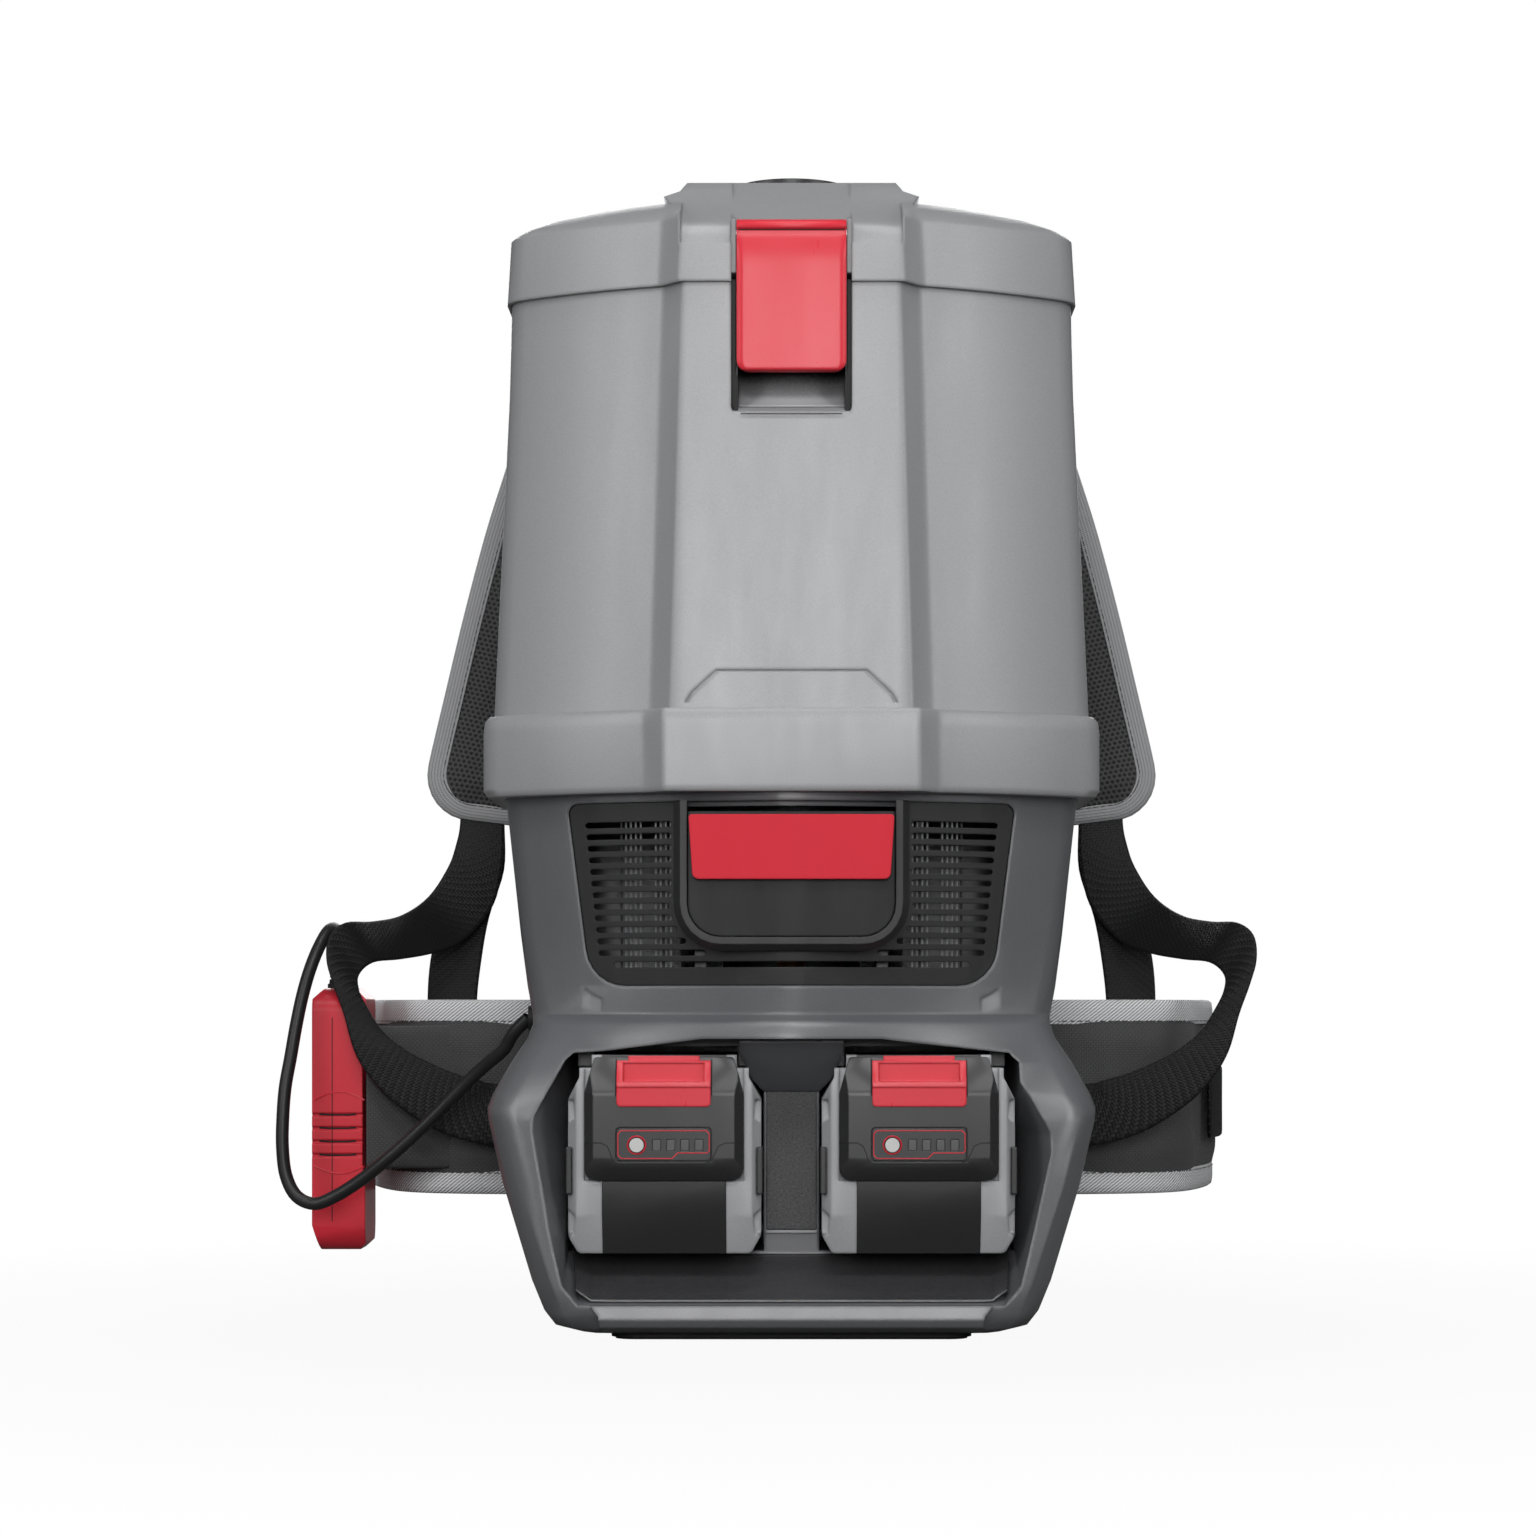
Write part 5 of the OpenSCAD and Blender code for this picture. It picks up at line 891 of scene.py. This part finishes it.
# Tray on the sloping floor of the bay
FLOOR_FRONT, FLOOR_BACK = (-101.0, 17.8), (-64.0, 40.2)
TRAY_STEPS, TRAY_ACROSS = 14, 24
tray = []
for i in range(TRAY_STEPS + 1):
    t = i / TRAY_STEPS
    y = FLOOR_FRONT[0] + (FLOOR_BACK[0] - FLOOR_FRONT[0]) * t
    z = FLOOR_FRONT[1] + (FLOOR_BACK[1] - FLOOR_FRONT[1]) * t
    half = 105.5 + 3.0 * t
    for k in range(TRAY_ACROSS + 1):
        share = -1 + 2 * k / TRAY_ACROSS
        x = half * math.copysign(abs(share) ** 0.8, share)
        wall = max(0.0, (abs(x) - half + 9) / 9)
        lip = max(0.0, 1 - t * TRAY_STEPS / 1.5)
        tray.append(Vector((x, y + 0.6, z + 0.5 + 5.5 * wall ** 2 + 1.1 * lip)) * MM)
TRAY = moulded("tray_grain", (0.036, 0.036, 0.038), 0.33, grain=900.0, depth=0.0001, contrast=0.35,
               bevel=0.0009, spec=0.9)
thicken(build("bay_tray", tray, grid(TRAY_STEPS + 1, TRAY_ACROSS + 1), None, TRAY, "housing"), 0.0006)

# Parting line and thumb grip of the handset
seam("handset_seam", [(-250, 100.95, z) for z in (47, 60, 90, 120, 150, 158)], 0.5, 0.08, SEAM_SHADOW,
     "housing")
for i, z in enumerate((83.0, 90.3, 97.6, 104.9)):
    groove = [(-257, 101.6, z + 0.5), (-252, 101.9, z), (-247, 101.95, z), (-242, 101.9, z),
              (-237, 101.6, z + 0.5)]
    seam("handset_grip_%d" % i, groove, 1.0, 0.1, SEAM_SHADOW, "housing")
for name, z, rise in (("top", 113, 4.5), ("low", 77, -4)):
    arc = [(-259.5 + 27 * k / 10, 100.95, z + rise * math.sin(math.pi * k / 10)) for k in range(11)]
    seam("handset_arc_" + name, arc, 0.9, 0.35, MATS["red_plastic"], "housing")


# Latch: crowned face with a rolled bead along its top
def latch_face(z):
    """Depth of the crowned face at height z, in mm."""
    return -108.2 + 1.5 * max(0.0, (z - 526) / 16.5) ** 2


LATCH_HALF, LATCH_LOW, LATCH_TOP, LATCH_CORNER = 26.7, 474.2, 542.6, 4.6
LATCH_ROLL, LATCH_ACROSS = 0.9, 20
LATCH_BACK = -106.9
rows = [0, 0.25, 0.9, 2.0, 3.3, 4.6]
rows += [4.6 + (LATCH_TOP - LATCH_LOW - 5.6) * k / 22 for k in range(1, 23)]
rows += [LATCH_TOP - LATCH_LOW - 0.4, LATCH_TOP - LATCH_LOW]
columns = [-1 + 2 * k / LATCH_ACROSS for k in range(LATCH_ACROSS + 1)]
verts = []
for i, up in enumerate(rows):
    half = LATCH_HALF
    if up < LATCH_CORNER:
        half -= LATCH_CORNER - math.sqrt(LATCH_CORNER ** 2 - (LATCH_CORNER - up) ** 2)
    for k, c in enumerate(columns):
        x = half * math.copysign(abs(c) ** 0.6, c)
        rim = min(half - abs(x), up, LATCH_TOP - LATCH_LOW - up) / LATCH_ROLL
        y = latch_face(LATCH_LOW + up)
        if rim < 1:
            y += LATCH_ROLL * (1 - math.sqrt(1 - (1 - rim) ** 2))
        if k in (0, LATCH_ACROSS) or i in (0, len(rows) - 1):
            y = LATCH_BACK
        verts.append(Vector((x, y, LATCH_LOW + up)) * MM)
build("latch_face", verts, grid(len(rows), LATCH_ACROSS + 1), None, MATS["red_plastic"], "latch")
BEAD = [(-105.4, 543.0), (-106.9, 543.1), (-107.7, 543.6), (-108.1, 544.6), (-107.9, 545.7),
        (-107.1, 546.9), (-105.6, 548.0), (-103.6, 548.6), (-101.0, 548.8), (-101.0, 546.0), (-105.0, 544.5)]
bead_end = [(-104.6 + (y + 104.6) * 0.9, 545.6 + (z - 545.6) * 0.86) for y, z in BEAD]
verts = [Vector((x, y, z)) * MM
         for x, ring in ((-26.9, bead_end), (-26.5, BEAD), (26.5, BEAD), (26.9, bead_end)) for y, z in ring]
n = len(BEAD)
faces = grid(4, n, closed=True)
faces += [tuple(reversed(range(n))), tuple(3 * n + i for i in range(n))]
build("latch_bead", verts, faces, None, MATS["red_plastic"], "latch")
seam("latch_groove", [(x, -107.0, 542.8) for x in (-26.2, 0, 26.2)], 0.5, 0.25, SEAM_SHADOW, "latch")

# Painted shade in the recess behind the latch: black strips in the gaps beside it, and a sheet on the ramp
# darkening to black beneath it
SHADE_STRIP = [(27.2, 519), (29.3, 519), (29.3, 458), (28.4, 455.2), (26.6, 454), (26.0, 456), (26.0, 470),
         (27.2, 474)]
for side, sign in SIDES:
    # Black strips standing for the shade between the latch and the recess walls
    plate("recess_shade_strip_" + side, [(sign * x, z) for x, z in SHADE_STRIP], -104.5, -90.2, SEAM_SHADOW, "housing",
          0.0002, 1)
RAMP_RADIUS = 21.7
ramp_rows = [(-90.3, 500.0), (-90.3, 488.0)]
ramp_rows += [(-112 + RAMP_RADIUS * math.cos(math.radians(a)), 476 + RAMP_RADIUS * math.sin(math.radians(a)))
              for a in range(0, -61, -6)]
verts = [Vector((x, y, z)) * MM for y, z in ramp_rows for x in (-26.5, 26.5)]
RAMP_SHADOW = Shader("recess_ramp_shadow", rough=0.45)
height = RAMP_SHADOW.node("ShaderNodeSeparateXYZ")
RAMP_SHADOW.feed(height.inputs[0], RAMP_SHADOW.coords.outputs["Object"])
# Painted light and shadow by height: lighter than the body at the ramp's foot, darkening to black under the
# latch.
rise = RAMP_SHADOW.math("DIVIDE", RAMP_SHADOW.math("SUBTRACT", height.outputs[2], 0.461), 0.014)
grain = RAMP_SHADOW.noise(900.0, 3.0, 0.6)
RAMP_SHADOW.colour(RAMP_SHADOW.ramp(RAMP_SHADOW.math("MULTIPLY_ADD", grain, 0.35, RAMP_SHADOW.math("SUBTRACT", rise, 0.17)),
                      (0.0, scaled(BODY, 1.35)), (0.35, scaled(BODY, 0.85)), (0.75, scaled(BODY, 0.3)),
                      (1.0, (0.006, 0.006, 0.006))))
RAMP_SHADOW.bump(grain, 0.00005, 0.5)
thicken(build("recess_ramp_shadow", verts, grid(len(ramp_rows), 2), None, RAMP_SHADOW.mat, "housing"),
        0.0005)
# Black line along the recess's lower edge: painted shadow of its step.
seam("recess_edge", [(x, -107.6, 453.1) for x in (-24.8, 0, 24.8)], 1.0, 0.15, SEAM_SHADOW, "housing",
     (0, -0.53, 0.85))

# Screws of the hinge
SCREW = [(3.4, 93.0), (3.4, 93.7), (3.0, 94.5), (2.0, 95.0), (1.1, 95.1), (1.0, 94.2)]
SCREW_AROUND = 24
for i, (x, z) in enumerate(((-12, 492), (12, 492), (-12, 503), (12, 503))):
    verts = [v for r, y in SCREW for v in circle(x, y, z, r, SCREW_AROUND)]
    faces = grid(len(SCREW), SCREW_AROUND, closed=True)
    faces.append(tuple((len(SCREW) - 1) * SCREW_AROUND + k for k in range(SCREW_AROUND)))
    build("hinge_screw_%d" % i, verts, faces, None, MATS["steel"], "housing")

# ---------------------------------------------------------------- stage


def wire(tree, *pairs):
    for source, target in pairs:
        tree.links.new(source, target)


floor_mesh = bpy.data.meshes.new("floor")
floor_mesh.from_pydata([(-6, -5, 0), (6, -5, 0), (6, 9, 0), (-6, 9, 0)], [], [(0, 1, 2, 3)])
floor = bpy.data.objects.new("floor", floor_mesh)
scene.collection.objects.link(floor)
fm = bpy.data.materials.new("pale_floor")
fm.use_nodes = True
ft = fm.node_tree
ground = ft.nodes["Principled BSDF"]
ground.inputs["Base Color"].default_value = (0.14, 0.14, 0.14, 1)
ground.inputs["Roughness"].default_value = 0.9
glow = ft.nodes.new("ShaderNodeEmission")
glow.inputs["Color"].default_value = (1, 1, 1, 1)
path = ft.nodes.new("ShaderNodeLightPath")
blend = ft.nodes.new("ShaderNodeMixShader")
where = ft.nodes.new("ShaderNodeTexCoord")
far = ft.nodes.new("ShaderNodeVectorMath")
far.operation = "LENGTH"
# The shadow shows near the object, and the floor turns plain white further out
fade = ft.nodes.new("ShaderNodeMapRange")
for socket, value in zip(fade.inputs[1:5], (0.28, 0.80, 0.94, 1.0)):
    socket.default_value = value
share = ft.nodes.new("ShaderNodeMath")
share.operation = "MULTIPLY"
wire(ft, (where.outputs["Object"], far.inputs[0]), (far.outputs["Value"], fade.inputs[0]),
     (path.outputs["Is Camera Ray"], share.inputs[0]), (fade.outputs[0], share.inputs[1]),
     (share.outputs[0], blend.inputs[0]), (ground.outputs[0], blend.inputs[1]),
     (glow.outputs[0], blend.inputs[2]), (blend.outputs[0], ft.nodes["Material Output"].inputs["Surface"]))
floor_mesh.materials.append(fm)

world = bpy.data.worlds.new("studio")
scene.world = world
world.use_nodes = True
wt = world.node_tree
back = wt.nodes["Background"]
back.inputs["Color"].default_value = (0.95, 0.97, 1.0, 1)
back.inputs["Strength"].default_value = 0.15
white = wt.nodes.new("ShaderNodeBackground")
white.inputs["Color"].default_value = (1, 1, 1, 1)
white.inputs["Strength"].default_value = 1.0
path = wt.nodes.new("ShaderNodeLightPath")
either = wt.nodes.new("ShaderNodeMath")
either.operation = "MAXIMUM"
mixed = wt.nodes.new("ShaderNodeMixShader")
wire(wt, (path.outputs["Is Camera Ray"], either.inputs[0]),
     (path.outputs["Is Transmission Ray"], either.inputs[1]), (either.outputs[0], mixed.inputs[0]),
     (back.outputs[0], mixed.inputs[1]), (white.outputs[0], mixed.inputs[2]),
     (mixed.outputs[0], wt.nodes["World Output"].inputs["Surface"]))


def lamp(name, where, target, size, power):
    data = bpy.data.lights.new(name, "AREA")
    data.shape = "RECTANGLE"
    data.size, data.size_y = size
    data.energy = power
    obj = bpy.data.objects.new(name, data)
    obj.location = where
    obj.rotation_euler = (Vector(target) - Vector(where)).to_track_quat("-Z", "Y").to_euler()
    scene.collection.objects.link(obj)


lamp("left_box", (-1.40, -1.20, 0.95), (0, 0, 0.38), (0.40, 1.3), 10)
lamp("right_box", (1.40, -1.20, 0.95), (0, 0, 0.38), (0.40, 1.3), 10)
lamp("front", (0, -2.5, 0.70), (0, 0, 0.33), (0.62, 0.9), 21)
lamp("top", (0, -1.45, 1.68), (0, -0.05, 0.2), (1.0, 0.4), 12)
lamp("over", (0, -0.40, 2.2), (0, -0.15, 0.2), (1.0, 0.45), 9)
lamp("behind", (0, 2.3, 1.1), (0, 0, 0.3), (1.5, 1.2), 26)

scene.view_settings.view_transform = "Standard"
